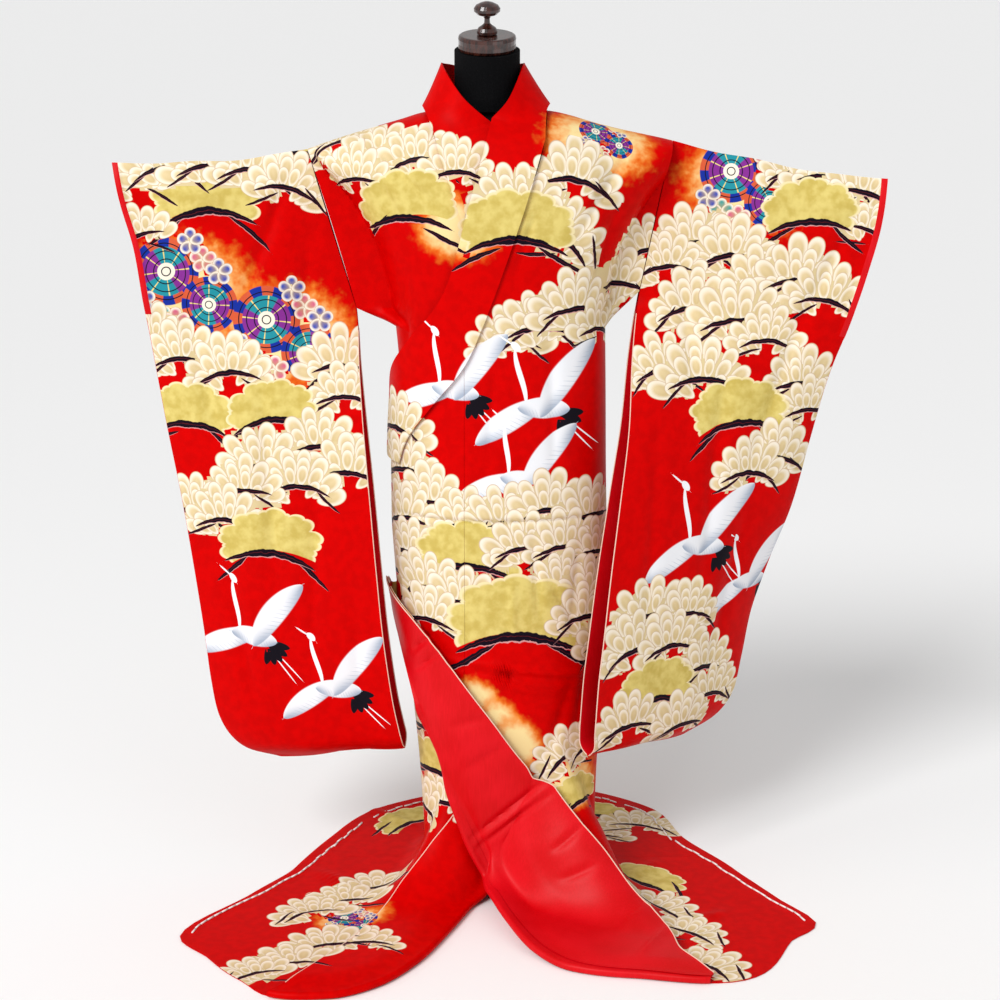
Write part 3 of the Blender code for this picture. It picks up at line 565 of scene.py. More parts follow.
UPPER_OVERLAP_TOP = table(
    "angle height",
    (-97, 0.804),
    (-70, 0.804),
    (-64, 0.838),
    (-46, 0.918),
    (-26, 0.992),
)

UNDER_OVERLAP_TOP = table(
    "angle height",
    (8, 1.006),
    (18, 0.938),
    (26, 0.868),
    (30, 0.806),
    (55, 0.804),
)


def fold_and_edge(data, limit):
    """The way from a front's fold (share 0) to the edge of what is turned back (share 1)."""
    edge_angle = along(data, "fold_angle", "edge_angle")
    edge_run = along(data, "fold_angle", "edge_run")

    def place(fold_angle, share):
        fold_run = limit(fold_angle)
        width = fold_run - edge_run(fold_angle) + 0.003 * np.abs(edge_angle(fold_angle) - fold_angle)
        angle = mix(fold_angle, edge_angle(fold_angle), share)
        run = mix(fold_run, edge_run(fold_angle), share)
        return angle, run, 2 * TURN + 0.005 * ramp(share * width, 0.0, 0.06)

    return place


def overlap_grid(columns, main, flap_range, top, limit, place, lift, steps=180, flap_steps=56):
    """Rows down the flat part, round the fold and back up the turned part."""
    angles = np.linspace(*columns)
    start = UNDERARM - along(top, "angle", "height")(angles)
    runs = mix(start, limit(angles), np.linspace(0, 1, steps)[:, None])
    flat = skirt(angles[None, :], runs, lift(angles[None, :], runs))
    flat[:, (angles < main[0]) | (angles > main[1])] = np.nan
    edge_angle, edge_run, _ = place(angles, 1.0)
    width = np.linalg.norm(skirt(edge_angle, edge_run) - skirt(angles, limit(angles)), axis=-1)
    turn = np.linspace(0, math.pi, 9)[1:-1, None]
    out_angle, out_run, _ = place(angles, -np.minimum(TURN / width, 0.3) * np.sin(turn))
    around = skirt(out_angle, out_run, lift(angles, limit(angles)) + TURN * (1 - np.cos(turn)))
    shares = np.linspace(0, 1, flap_steps)[:, None]
    flap_angle, flap_run, rise = place(angles[None, :], shares)
    turned = skirt(flap_angle, flap_run, lift(flap_angle, flap_run) + rise)
    outside = (angles < flap_range[0]) | (angles > flap_range[1])
    around[:, outside] = np.nan
    turned[:, outside] = np.nan
    return np.concatenate((flat, around, turned)), len(flat) + len(around)


def filled(grid):
    """The grid with its missing points copied from a neighbour, for taking normals."""
    out = grid.copy()
    for column in range(1, out.shape[1]):
        missing = ~np.isfinite(out[:, column, 0])
        out[missing, column] = out[missing, column - 1]
    for column in range(out.shape[1] - 2, -1, -1):
        missing = ~np.isfinite(out[:, column, 0])
        out[missing, column] = out[missing, column + 1]
    return out


FLAP_CREASES = table(
    "x0 z0 x1 z1 width depth side",
    (-0.134, 0.458, -0.104, 0.489, 0.0050, 0.0054, -1),
    (-0.136, 0.436, -0.098, 0.482, 0.0048, -0.0026, -1),
    (-0.130, 0.420, -0.086, 0.466, 0.0050, 0.0048, -1),
    (-0.034, 0.114, 0.104, 0.231, 0.0055, 0.0064, -1),
    (-0.030, 0.102, 0.112, 0.221, 0.0053, -0.0034, -1),
    (-0.022, 0.096, 0.118, 0.212, 0.0050, 0.0048, -1),
    (0.116, 0.112, 0.172, 0.160, 0.0060, 0.0054, -1),
    (0.128, 0.066, 0.198, 0.100, 0.0066, 0.0048, -1),
    (-0.070, 0.330, 0.005, 0.352, 0.0096, 0.0035, -1),
    (-0.050, 0.240, 0.030, 0.300, 0.0096, 0.0038, -1),
    (-0.185, 0.024, -0.100, 0.092, 0.0072, 0.0048, -1),
    (-0.160, 0.034, -0.090, 0.086, 0.0060, -0.0023, -1),
    (0.225, -0.343, 0.292, -0.270, 0.0072, -0.0042, 0),
    (0.258, -0.430, 0.318, -0.320, 0.0072, -0.0042, 0),
    (-0.230, -0.450, -0.155, -0.250, 0.0084, -0.0038, 0),
    (-0.308, -0.530, -0.230, -0.410, 0.0084, -0.0038, 0),
)

OVERLAPS = {
    "overlap_left": {
        "columns": (-97, 36, 260), "main": (-97, UPPER_OVERLAP - SEAM_ANGLE), "flap_range": (-90, 36),
        "top": UPPER_OVERLAP_TOP, "limit": upper_limit, "lift": upper_lift,
        "place": fold_and_edge(UPPER_FLAP, upper_limit),
    },
    "overlap_right": {
        "columns": (-35.5, 55, 170), "main": (UNDER_OVERLAP + SEAM_ANGLE, 55), "flap_range": (-35.5, 17),
        "top": UNDER_OVERLAP_TOP, "limit": under_limit, "lift": under_lift,
        "place": fold_and_edge(UNDER_FLAP, under_limit),
    },
}

flap_grids = {}
for name, sizes in OVERLAPS.items():
    grid, first = overlap_grid(**sizes)
    outward = facing_out(filled(grid), 60, len(filled(grid)[0]) // 3, (0, -1, 0))
    outward[first:] *= -1
    grid = waved(pressed(grid, outward, BODY_CREASES, FLAP_CREASES), outward, HANG_WAVE, HANG_SEED)
    flap_grids[name] = (grid[first:], outward[first:])
    painted_side = outward.copy()
    painted_side[first:] *= -1
    halves[name] = cloth(name + "_cloth", grid, painted_side, (painted_silk, red_lining))


# ---- flap linings ---------------------------------------------------------------------
# The crimson silk lining of the two turned-back fronts.  It is laid on their inner sides
# and sewn in along their edges.
LINING_GAP = 0.0026
LINING_WALL = 0.001
PIPING_LIFT = 0.0012
FIRST_ROW = 3
flap_edges = {}

for name, source in (("lining_front_left", "overlap_left"), ("lining_front_right", "overlap_right")):
    grid, outward = flap_grids[source]
    raised = (grid + outward * LINING_GAP)[FIRST_ROW:]
    finishes = (red_lining, red_lining)
    halves[name] = cloth(name + "_cloth", raised, outward[FIRST_ROW:], finishes, wall=LINING_WALL)
    flap_edges[name] = (raised[-1] + outward[-1] * PIPING_LIFT)[np.isfinite(raised[-1]).all(1)]


# ---- collar ---------------------------------------------------------------------------
# A long straight band of the same silk, folded double and sewn along both fronts and round
# the neck.  It stands away from the neck at the back.
UPPER_COLLAR = table(
    "step free_angle free_height seam_angle seam_height",
    (0, -99, 0.800, -68, 0.795),
    (1, -97, 0.850, -63, 0.835),
    (2, -86, 0.930, -45, 0.910),
    (3, -60, 1.020, -24, 0.985),
    (4, -38, 1.112, -7, 1.083),
    (5, -22.5, 1.255, 16, 1.227),
    (6, -6, 1.383, 33, 1.353),
)

UNDER_COLLAR = table(
    "step free_angle free_height seam_angle seam_height",
    (0, 60, 0.800, 30, 0.795),
    (1, 58, 0.870, 26, 0.850),
    (2, 52, 0.950, 16, 0.930),
    (3, 42, 1.030, 4, 1.000),
    (4, 29, 1.112, -8, 1.083),
    (5, 11, 1.255, -28, 1.227),
    (6, -5, 1.383, -45, 1.353),
)

NECK_COLLAR = table(
    "free_x free_y free_z seam_x seam_y",
    (0.038, -0.074, 1.430, 0.101, -0.048),
    (0.061, -0.018, 1.479, 0.107, 0.000),
    (0.059, 0.045, 1.482, 0.092, 0.050),
    (0.036, 0.084, 1.476, 0.055, 0.082),
    (-0.004, 0.097, 1.472, 0.000, 0.092),
    (-0.045, 0.084, 1.476, -0.060, 0.082),
    (-0.072, 0.045, 1.482, -0.095, 0.050),
    (-0.076, -0.012, 1.480, -0.111, 0.000),
    (-0.040, -0.074, 1.430, -0.104, -0.048),
)


COLLAR_LIFT = 0.0060
COLLAR_REST = 0.0125
UNDER_COLLAR_LIFT = -0.0015
COLLAR_WALL = 0.0028
COLLAR_WAVE = 0.0008
FRONT_STEPS = 90
NECK_STEPS = 12


def collar_curves(data, lift, steps):
    """Rows across the collar along one front, from its table."""
    step = np.linspace(0, len(data["step"]) - 1, steps)
    here = {name: along(data, "step", name)(step)[:, None] for name in data if name != "step"}
    t = np.linspace(0, 1, 9)[None, :]
    angle = mix(here["seam_angle"], here["free_angle"], t)
    height = mix(here["seam_height"], here["free_height"], t)
    return front(angle, height, lift + COLLAR_LIFT)


def spline(points, per_span):
    """Catmull-Rom points through the given ones, ends included."""
    held = np.array([2 * points[0] - points[1], *points, 2 * points[-1] - points[-2]])
    t = np.linspace(0, 1, per_span + 1)[:-1, None]
    spans = []
    for a, b, c, d in zip(held[:-3], held[1:-2], held[2:-1], held[3:]):
        bend = (2 * a - 5 * b + 4 * c - d) * t * t + (3 * b - a - 3 * c + d) * t ** 3
        spans.append(0.5 * (2 * b + (c - a) * t + bend))
    return np.concatenate((*spans, points[-1:]))


def shoulder_top(x, y):
    """Height of the cloth over the shoulder at a place near the neck."""
    low, high = np.zeros_like(x), np.full_like(x, 0.25)
    for _ in range(24):
        drop = (low + high) / 2
        under = chest_place(x, drop, 1)[..., 1] < np.abs(y)
        low, high = np.where(under, drop, low), np.where(under, high, drop)
    return ridge(x) - low


def collar_grid():
    """Rows across the collar: up the left front, round the neck, down the right front."""
    upper = collar_curves(UPPER_COLLAR, LIFT_CHEST, FRONT_STEPS)
    under = collar_curves(UNDER_COLLAR, UNDER_COLLAR_LIFT, FRONT_STEPS)[::-1]
    neck_seam = np.stack([NECK_COLLAR["seam_x"], NECK_COLLAR["seam_y"]], -1)
    top = shoulder_top(neck_seam[:, 0], neck_seam[:, 1]) + COLLAR_REST
    seam = np.concatenate((upper[-1:, 0], np.column_stack((neck_seam, top)), under[:1, 0]))
    free = np.stack([NECK_COLLAR["free_x"], NECK_COLLAR["free_y"], NECK_COLLAR["free_z"]], -1)
    free = np.concatenate((upper[-1:, -1], free, under[:1, -1]))
    seam, free = spline(seam, NECK_STEPS), spline(free, NECK_STEPS)
    seam[:, 2] = np.maximum(seam[:, 2], shoulder_top(seam[:, 0], seam[:, 1]) + COLLAR_REST)
    round_neck = mix(seam[:, None], free[:, None], np.linspace(0, 1, 9)[None, :, None])
    return np.concatenate((upper[:-1], round_neck, under[1:]))


grid = collar_grid()
outward = facing_out(grid, 40, 4, (0, -1, 0))
grid = waved(grid, outward, COLLAR_WAVE, 2.0)
halves["collar"] = cloth("collar_cloth", grid, outward, (painted_silk, painted_silk), wall=COLLAR_WALL)


# ---- sleeves --------------------------------------------------------------------------
# A folded width of silk each, sewn along the bottom and below the cuff, open at the
# armhole side below the underarm.  Its red lining shows along the openings.
RIGHT_SLEEVE = table(
    "step inner_x inner_y inner_z outer_x outer_y outer_z",
    (0, -0.312, 0.000, 1.338, -0.654, 0.000, 1.315),
    (1, -0.291, 0.000, 1.265, -0.640, 0.000, 1.242),
    (2, -0.263, 0.000, 1.169, -0.619, -0.010, 1.165),
    (3, -0.232, 0.000, 1.062, -0.606, -0.015, 1.070),
    (4, -0.224, -0.045, 0.960, -0.591, -0.020, 0.970),
    (5, -0.216, -0.070, 0.866, -0.573, -0.025, 0.850),
    (6, -0.205, -0.085, 0.740, -0.553, -0.030, 0.730),
    (7, -0.195, -0.090, 0.612, -0.536, -0.030, 0.600),
    (8, -0.186, -0.090, 0.500, -0.521, -0.030, 0.470),
    (9, -0.177, -0.090, 0.420, -0.512, -0.030, 0.375),
    (10, -0.167, -0.090, 0.350, -0.502, -0.030, 0.312),
    (11, -0.158, -0.090, 0.305, -0.481, -0.030, 0.266),
    (12, -0.153, -0.090, 0.280, -0.447, -0.030, 0.237),
    (13, -0.152, -0.090, 0.262, -0.386, -0.030, 0.221),
)

LEFT_SLEEVE = table(
    "step inner_x inner_y inner_z outer_x outer_y outer_z",
    (0, 0.321, 0.000, 1.353, 0.699, 0.000, 1.287),
    (1, 0.306, 0.000, 1.275, 0.690, 0.000, 1.210),
    (2, 0.287, 0.000, 1.185, 0.669, 0.005, 1.118),
    (3, 0.268, 0.000, 1.092, 0.642, 0.010, 1.025),
    (4, 0.250, -0.060, 0.985, 0.610, 0.020, 0.922),
    (5, 0.241, -0.100, 0.877, 0.585, 0.025, 0.815),
    (6, 0.222, -0.140, 0.745, 0.558, 0.030, 0.695),
    (7, 0.203, -0.172, 0.611, 0.518, 0.035, 0.580),
    (8, 0.190, -0.190, 0.500, 0.488, 0.035, 0.480),
    (9, 0.182, -0.197, 0.430, 0.475, 0.035, 0.400),
    (10, 0.178, -0.200, 0.370, 0.462, 0.030, 0.335),
    (11, 0.176, -0.200, 0.330, 0.442, 0.020, 0.302),
    (12, 0.176, -0.200, 0.305, 0.412, 0.005, 0.280),
    (13, 0.178, -0.200, 0.290, 0.362, -0.030, 0.266),
)

SLEEVE_CREASES = table(
    "x0 z0 x1 z1 width depth side",
    (-0.335, 1.320, -0.430, 1.080, 0.0120, 0.0090, -1),
    (-0.310, 1.230, -0.330, 0.920, 0.0110, 0.0070, -1),
    (-0.610, 1.270, -0.500, 1.020, 0.0140, 0.0095, -1),
    (-0.545, 1.100, -0.470, 0.800, 0.0150, 0.0095, -1),
    (-0.400, 0.950, -0.380, 0.560, 0.0150, 0.0095, -1),
    (-0.300, 0.820, -0.320, 0.420, 0.0130, 0.0070, -1),
    (-0.480, 0.640, -0.430, 0.340, 0.0140, 0.0075, -1),
    (-0.240, 0.560, -0.230, 0.320, 0.0120, 0.0060, -1),
    (0.345, 1.330, 0.450, 1.120, 0.0120, 0.0090, -1),
    (0.330, 1.180, 0.370, 0.900, 0.0110, 0.0070, -1),
    (0.650, 1.240, 0.540, 1.000, 0.0140, 0.0095, -1),
    (0.570, 1.080, 0.480, 0.800, 0.0150, 0.0095, -1),
    (0.420, 0.960, 0.390, 0.580, 0.0150, 0.0095, -1),
    (0.300, 0.900, 0.280, 0.480, 0.0130, 0.0070, -1),
    (0.470, 0.700, 0.410, 0.400, 0.0140, 0.0075, -1),
    (-0.350, 1.300, -0.450, 1.000, 0.0130, 0.0090, 1),
    (-0.560, 1.200, -0.480, 0.820, 0.0150, 0.0095, 1),
    (-0.380, 0.900, -0.360, 0.480, 0.0150, 0.0095, 1),
    (-0.470, 0.700, -0.420, 0.360, 0.0140, 0.0075, 1),
    (0.360, 1.310, 0.470, 1.020, 0.0130, 0.0090, 1),
    (0.590, 1.180, 0.500, 0.840, 0.0150, 0.0095, 1),
    (0.390, 0.940, 0.360, 0.520, 0.0150, 0.0095, 1),
    (0.450, 0.720, 0.400, 0.380, 0.0140, 0.0075, 1),
)
CUFF_STEP = 3.2
STRIP = 0.967
STRIP_RISE = 0.0012
HALF_LEAST = 0.0017
HALF_MIDDLE = 0.026
TOP_SAG = 0.010
SLEEVE_WAVE = 0.0040


def sleeve_grid(data, side, steps=210):
    """Rows down the front wall and up the back wall, columns from the armhole to the cuff."""
    step = np.linspace(0, len(data["step"]) - 1, steps)
    step = np.concatenate((step, step[::-1][1:-1]))
    wall = np.where(np.arange(len(step)) < steps, -1.0, 1.0)[:, None, None]
    share = np.concatenate((np.linspace(0.002, STRIP, 58), (STRIP + 0.004, 0.986, 1.0)))[None, :]
    armhole = ARMHOLE[side]
    inner = np.stack([along(data, "step", f"inner_{axis}")(step) for axis in "xyz"], -1)
    outer = np.stack([along(data, "step", f"outer_{axis}")(step) for axis in "xyz"], -1)
    near = np.clip(step / 3, 0, 1)
    inner[:, 0] = np.where(step < 3, mix(armhole["top_x"], armhole["low_x"], near), inner[:, 0])
    inner[:, 2] = np.where(step < 3, mix(armhole["top_z"], armhole["low_z"], near), inner[:, 2])
    middle = mix(inner[:, None], outer[:, None], share[..., None])
    last = len(data["step"]) - 1
    step = step[:, None]
    middle[..., 2] -= TOP_SAG * np.sin(math.pi * share) * (1 - ramp(step, 0, 2))
    ahead = np.stack([outer[:, 1] - inner[:, 1], inner[:, 0] - outer[:, 0], 0 * outer[:, 0]], -1)
    ahead = unit(ahead)
    ahead *= np.where(ahead[:, 1:2] > 0, -1, 1)
    top = 1 - ramp(step, 0, 0.8)
    low = 1 - ramp(step, last, last - 1.6)
    at_armhole = mix(0.009, 0.020, ramp(step, 2.5, 6))
    at_cuff = mix(0.011, HALF_LEAST, ramp(step, 2.8, 3.6))
    swell = np.sin(math.pi * share) ** 0.8
    half = mix(mix(at_armhole, at_cuff, share), HALF_MIDDLE, swell * 0.85) * np.sqrt((1 - top) * (1 - low))
    half = np.where((step > 0) & (step < last), np.maximum(half, HALF_LEAST), half)
    strip = (share > STRIP) & (step < CUFF_STEP)
    half = half + STRIP_RISE * strip * ramp(step, 0, 0.3)
    return middle - ahead[:, None] * wall * half[..., None], step[:, 0], strip


sleeve_edges = {}
for name, side, data in (("sleeve_right", -1, RIGHT_SLEEVE), ("sleeve_left", 1, LEFT_SLEEVE)):
    grid, step, strip = sleeve_grid(data, side)
    rows, columns = grid.shape[:2]
    outward = unit(np.cross(np.roll(grid, -1, 0) - np.roll(grid, 1, 0), np.gradient(grid, axis=1)))
    outward *= -np.sign(outward[60, 30, 1])
    loose = np.sin(math.pi * np.linspace(0, 1, columns)) ** 0.5
    hung = waved(pressed(grid, outward, SLEEVE_CREASES), outward, SLEEVE_WAVE, 3.0 + side)
    grid += (hung - grid) * loose[:, None]
    index = np.arange(rows * columns).reshape(rows, columns)
    closing = [(index[i, -1], index[i + 1, -1], index[rows - i - 1, -1], index[rows - i, -1])
               for i in range(1, (rows + 2) // 2 - 2) if step[i] >= CUFF_STEP]
    closing = [np.array(closing)]
    finishes = (painted_silk, red_lining, red_lining)
    halves[name] = cloth(name + "_cloth", grid, outward, finishes, wrap=True, extra=closing, lined=strip)
    hanging = (step > 3.3) & (step < len(data["step"]) - 1.1)
    ahead = np.arange(rows) < rows / 2
    behind = np.arange(rows) > rows / 2
    sleeve_edges[name] = [grid[hanging & ahead, 0], grid[hanging & behind, 0]]

for name, piece in halves.items():
    wall = piece.modifiers.new("wall", "SOLIDIFY")
    wall.thickness = walls[piece.name]
    wall.offset = 0
    wall.use_rim = True
    wall.material_offset = 1
    made = bpy.data.meshes.new_from_object(piece.evaluated_get(bpy.context.evaluated_depsgraph_get()))
    made.set_sharp_from_angle(angle=0.9)
    piece.modifiers.clear()
    piece.data = made
    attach(piece, "root")
    nodes = [f"{name}_front", f"{name}_back"] if name.startswith("sleeve") else [name]
    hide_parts(*nodes)


# ---- painted design -------------------------------------------------------------------
# Pines, cranes and haloed wheels, painted on the red silk by hand in the yuzen way.  Each
# brush mark keeps its own coordinates on the faces that it touches, up to four deep.
PETAL, PAD, BRANCH, HALO, WING, BLACK, WHEEL, NECK = range(1, 9)
CREAM_DYE, BLUE_DYE, PINK_DYE, TEAL_DYE = 0.1, 0.3, 0.5, 0.7
CREAM_PAD = 2.0
DEPTH = 4
PLAIN_COLLAR = 1.405
RICH_KINDS = (HALO, WING, BLACK, WHEEL, NECK)
LONG_KINDS = (BRANCH, WING, BLACK, NECK)
ROUND_REACH = 1.12
COVERED = 0.86


class Canvas:
    """The painted faces of some pieces that one design crosses."""

    def __init__(self, *names):
        self.names = names
        corners, normals, self.shares = [], [], []
        for name in names:
            mesh = halves[name].data
            count = len(mesh.polygons)
            index = np.empty(count * 4, int)
            mesh.loops.foreach_get("vertex_index", index)
            points = np.empty(len(mesh.vertices) * 3)
            mesh.vertices.foreach_get("co", points)
            finish = np.empty(count, int)
            mesh.polygons.foreach_get("material_index", finish)
            quads = points.reshape(-1, 3)[index.reshape(-1, 4)]
            turn = unit(np.cross(quads[:, 2] - quads[:, 0], quads[:, 3] - quads[:, 1]))
            turn[finish > 0] = 0
            if name == "collar":
                turn[quads[:, 0, 2] > PLAIN_COLLAR] = 0
            corners.append(quads)
            normals.append(turn)
            self.shares.append(count)
        self.corners = np.concatenate(corners)
        self.normals = np.concatenate(normals)
        self.centres = self.corners.mean(1)
        self.order = np.argsort(self.centres[:, 2])
        self.heights = self.centres[self.order, 2]
        self.paint = np.zeros((DEPTH, len(self.centres), 4, 4), np.float32)
        self.buried = np.zeros(len(self.centres), np.float32)
        self.looking = np.zeros(3)
        self.wrap = 0.0

    def near(self, centre, normal, reach, depth):
        """The faces around a point that look the same way and aren't seen from the far side."""
        low, high = np.searchsorted(self.heights, (centre[2] - reach, centre[2] + reach))
        found = self.order[low:high]
        away = self.centres[found] - centre
        keep = (np.abs(away).max(1) < reach) & (self.normals[found] @ normal > 0.2)
        keep &= (np.abs(away @ normal) < depth) & (self.normals[found] @ self.looking < self.wrap)
        return found[keep]

    def spot(self, place, looking):
        """The face that a place seen along an axis falls on, with a frame on the cloth."""
        self.looking = looking = np.array(looking, float)
        self.wrap = 0.05 if looking[1] >= 0 else -0.08
        facing = -self.normals @ looking
        flat = self.centres - np.array(place)
        flat -= np.outer(flat @ looking, looking)
        nearer = 0.05 if looking[2] == 0 else 0.004
        away = np.linalg.norm(flat, axis=1) + nearer * (self.centres @ looking)
        face = int(np.argmin(np.where(facing > 0.25, away, 9)))
        normal = unit(-looking + 0.8 * self.normals[face])
        up = np.array((0.0, 0.0, 1.0)) if abs(looking[2]) < 0.5 else np.array((0.0, 1.0, 0.0))
        up = unit(up - normal * (up @ normal))
        return self.centres[face], unit(np.cross(up, normal)), up, normal

    def mark(self, spot, at, size, turn, kind, seed=0.0):
        """One brush mark: its place in the motif's frame, half-sizes, turn and kind."""
        origin, right, up, normal = spot
        centre = origin + right * at[0] + up * at[1]
        long_way = right * math.cos(turn) + up * math.sin(turn)
        wide_way = -right * math.sin(turn) + up * math.cos(turn)
        reach = max(size) * 1.25 + 0.006
        found = self.near(centre, normal, reach, 0.03 + reach)
        if not len(found):
            return
        local = self.corners[found] - centre
        x, y = local @ long_way / size[0], local @ wide_way / size[1]
        if kind in LONG_KINDS:
            bent = y + seed * (x ** 3 - x if kind == NECK else x * x)
            inside = (np.abs(x).min(1) < 1) & ((np.abs(bent).min(1) < 1) | (bent.min(1) * bent.max(1) < 0))
            covers = np.zeros(len(found), bool)
        else:
            far = np.hypot(x, y)
            inside = far.min(1) < ROUND_REACH
            covers = (far.max(1) < COVERED) & (kind == PETAL)
        found, x, y, covers = found[inside], x[inside], y[inside], covers[inside]
        lost = found[np.isin(self.paint[-1, found, 0, 2], (PETAL, PAD))]
        self.buried[lost] = 1
        self.paint[1:, found] = self.paint[:-1, found]
        self.paint[1:, found[covers]] = 0
        self.paint[0, found] = np.stack((x, y, np.full_like(x, kind), np.full_like(x, seed)), -1)

    def finish(self):
        """Writes the marks to the pieces' face corners."""
        start = 0
        for name, count in zip(self.names, self.shares):
            mesh = halves[name].data
            for level in range(DEPTH):
                layer = mesh.attributes.new(f"mark_{level + 1}", "FLOAT_COLOR", "CORNER")
                layer.data.foreach_set("color", self.paint[level, start:start + count].ravel())
            rich = np.isin(self.paint[:, start:start + count, 0, 2], RICH_KINDS).any(0).astype(np.float32)
            for label, values in (("buried", self.buried[start:start + count]), ("rich", rich)):
                layer = mesh.attributes.new(label, "FLOAT", "FACE")
                layer.data.foreach_set("value", values)
            start += count


def branches(canvas, spot, size, turn, dice):
    """The dark branch that arches under a pad, with a twig to each side."""
    for share, drop, lean in ((-0.052, -0.030, 0.60), (0.058, -0.034, -0.70)):
        lean += turn + dice.uniform(-0.20, 0.20)
        at = (share * size, drop * size)
        canvas.mark(spot, at, (0.036 * size, 0.0036 * size), lean, BRANCH, dice.uniform(-0.9, 0.9))
    lean = turn + dice.uniform(-0.08, 0.08)
    canvas.mark(spot, (0, -0.006 * size), (0.066 * size, 0.0062 * size), lean, BRANCH, dice.uniform(2.6, 3.6))


PETAL_ROWS = table(
    "radius count long half",
    (0.063, 8, 0.029, 0.0185),
    (0.045, 7, 0.024, 0.0150),
    (0.027, 5, 0.021, 0.0125),
)


def turned(x, y, turn, size):
    """A place in a motif that is turned and scaled as a whole."""
    return size * (x * math.cos(turn) - y * math.sin(turn)), size * (x * math.sin(turn) + y * math.cos(turn))


def pine(canvas, spot, size, turn, dice):
    """An arched pad of pine: rows of rounded cream petals that spread over their branch."""
    wide = size * dice.uniform(0.92, 1.12)
    canvas.mark(spot, (0, 0.002 * size), (0.076 * wide, 0.048 * size), turn, PAD, CREAM_PAD)
    for radius, count, long, half in zip(*PETAL_ROWS.values()):
        start = dice.uniform(-0.10, 0.10)
        for i in range(int(count)):
            angle = math.pi * (i + 0.5 * (radius < 0.06) * (i < count - 1) + start) / (count - 1)
            reach = radius * (1 + dice.uniform(-0.07, 0.07))
            x = reach * math.cos(angle) * 1.10 * wide
            y = (reach * math.sin(angle) * 0.78 - 0.026 * math.cos(angle) ** 2) * size
            at = turned(x, y, turn, 1)
            lean = turn + math.atan2(y + 0.050 * size, x)
            grown = size * dice.uniform(0.86, 1.12)
            canvas.mark(spot, at, (long * grown, half * grown), lean, PETAL, CREAM_DYE)
    branches(canvas, spot, size, turn, dice)


def gold(canvas, spot, size, turn, dice):
    """A flat gold pad with a lobed edge, over its branch."""
    lean = turn + dice.uniform(-0.1, 0.1)
    canvas.mark(spot, (0, 0.010 * size), (0.086 * size, 0.058 * size), lean, PAD, dice.uniform(0, 1))
    branches(canvas, spot, size * 1.08, turn, dice)


def crane(canvas, spot, size, turn, dice):
    """A flying crane: legs, tail, neck, head, bill, far wing, body and near wing."""

    def stroke(x, y, long, wide, lean, kind, bend=0.0):
        canvas.mark(spot, turned(x, y, turn, size), (long * size, wide * size), turn + lean, kind, bend)

    flap = dice.uniform(-0.10, 0.10)
    stroke(0.072, -0.050, 0.034, 0.0012, -0.75, NECK)
    stroke(0.064, -0.056, 0.032, 0.0012, -0.85, NECK)
    for lean in (-1.75, -1.30, -0.90, -0.50, -0.10):
        stroke(0.036 + 0.014 * math.cos(lean), -0.012 + 0.018 * math.sin(lean), 0.021, 0.0080, lean, BLACK)
    stroke(-0.030, 0.050, 0.048, 0.0046, 1.72, NECK, 1.3)
    stroke(-0.036, 0.098, 0.0100, 0.0062, 2.30, NECK)
    stroke(-0.051, 0.109, 0.0140, 0.0016, 2.50, NECK)
    stroke(-0.050, -0.018, 0.066, 0.0200, 0.48 - flap, WING, 0.30)
    stroke(0.006, -0.002, 0.042, 0.0180, -0.10, WING, 0.10)
    stroke(0.040, 0.046, 0.074, 0.0225, 0.92 + flap, WING, 0.36)


def blossom(canvas, spot, at, size, dye):
    """A small round flower of five petals."""
    for i in range(5):
        angle = math.radians(90 + 72 * i)
        place = (at[0] + 0.009 * size * math.cos(angle), at[1] + 0.009 * size * math.sin(angle))
        canvas.mark(spot, place, (0.0095 * size, 0.0085 * size), angle, PETAL, dye)


WHEELS = ((-0.026, 0.022, 0.050), (0.036, -0.026, 0.042))
BLOSSOMS = (
    (0.030, 0.040, PINK_DYE),
    (0.052, 0.022, BLUE_DYE),
    (-0.040, -0.040, TEAL_DYE),
    (-0.014, -0.050, PINK_DYE),
    (0.012, 0.066, BLUE_DYE),
    (-0.062, -0.018, BLUE_DYE),
)


def wheel(canvas, spot, size, turn, dice):
    """Two bright wheels with blossoms."""
    for x, y, radius in WHEELS:
        half = radius * size
        canvas.mark(spot, (x * size, y * size), (half, half), turn, WHEEL, dice.uniform(0, 1))
    for x, y, dye in BLOSSOMS:
        blossom(canvas, spot, (x * size, y * size), size * 1.1, dye)


def glow(canvas, spot, size, turn, dice):
    """A soft golden glow by itself."""
    canvas.mark(spot, (0, 0), (0.10 * size, 0.075 * size), turn, HALO)


def node(tree, kind, sockets, out=0, **settings):
    """Adds a node with wires and constants on its inputs; one of its outputs as a wire."""
    made = tree.nodes.new(kind)
    for name, value in settings.items():
        setattr(made, name, value)
    feed(tree, made, sockets)
    return Wire(tree, made.outputs[out])


def feed(tree, made, sockets):
    """Puts wires and constants on a node's inputs, by their names or places."""
    for label, value in sockets.items():
        if isinstance(value, Wire):
            tree.links.new(value.socket, made.inputs[label])
        elif value is not None:
            made.inputs[label].default_value = value


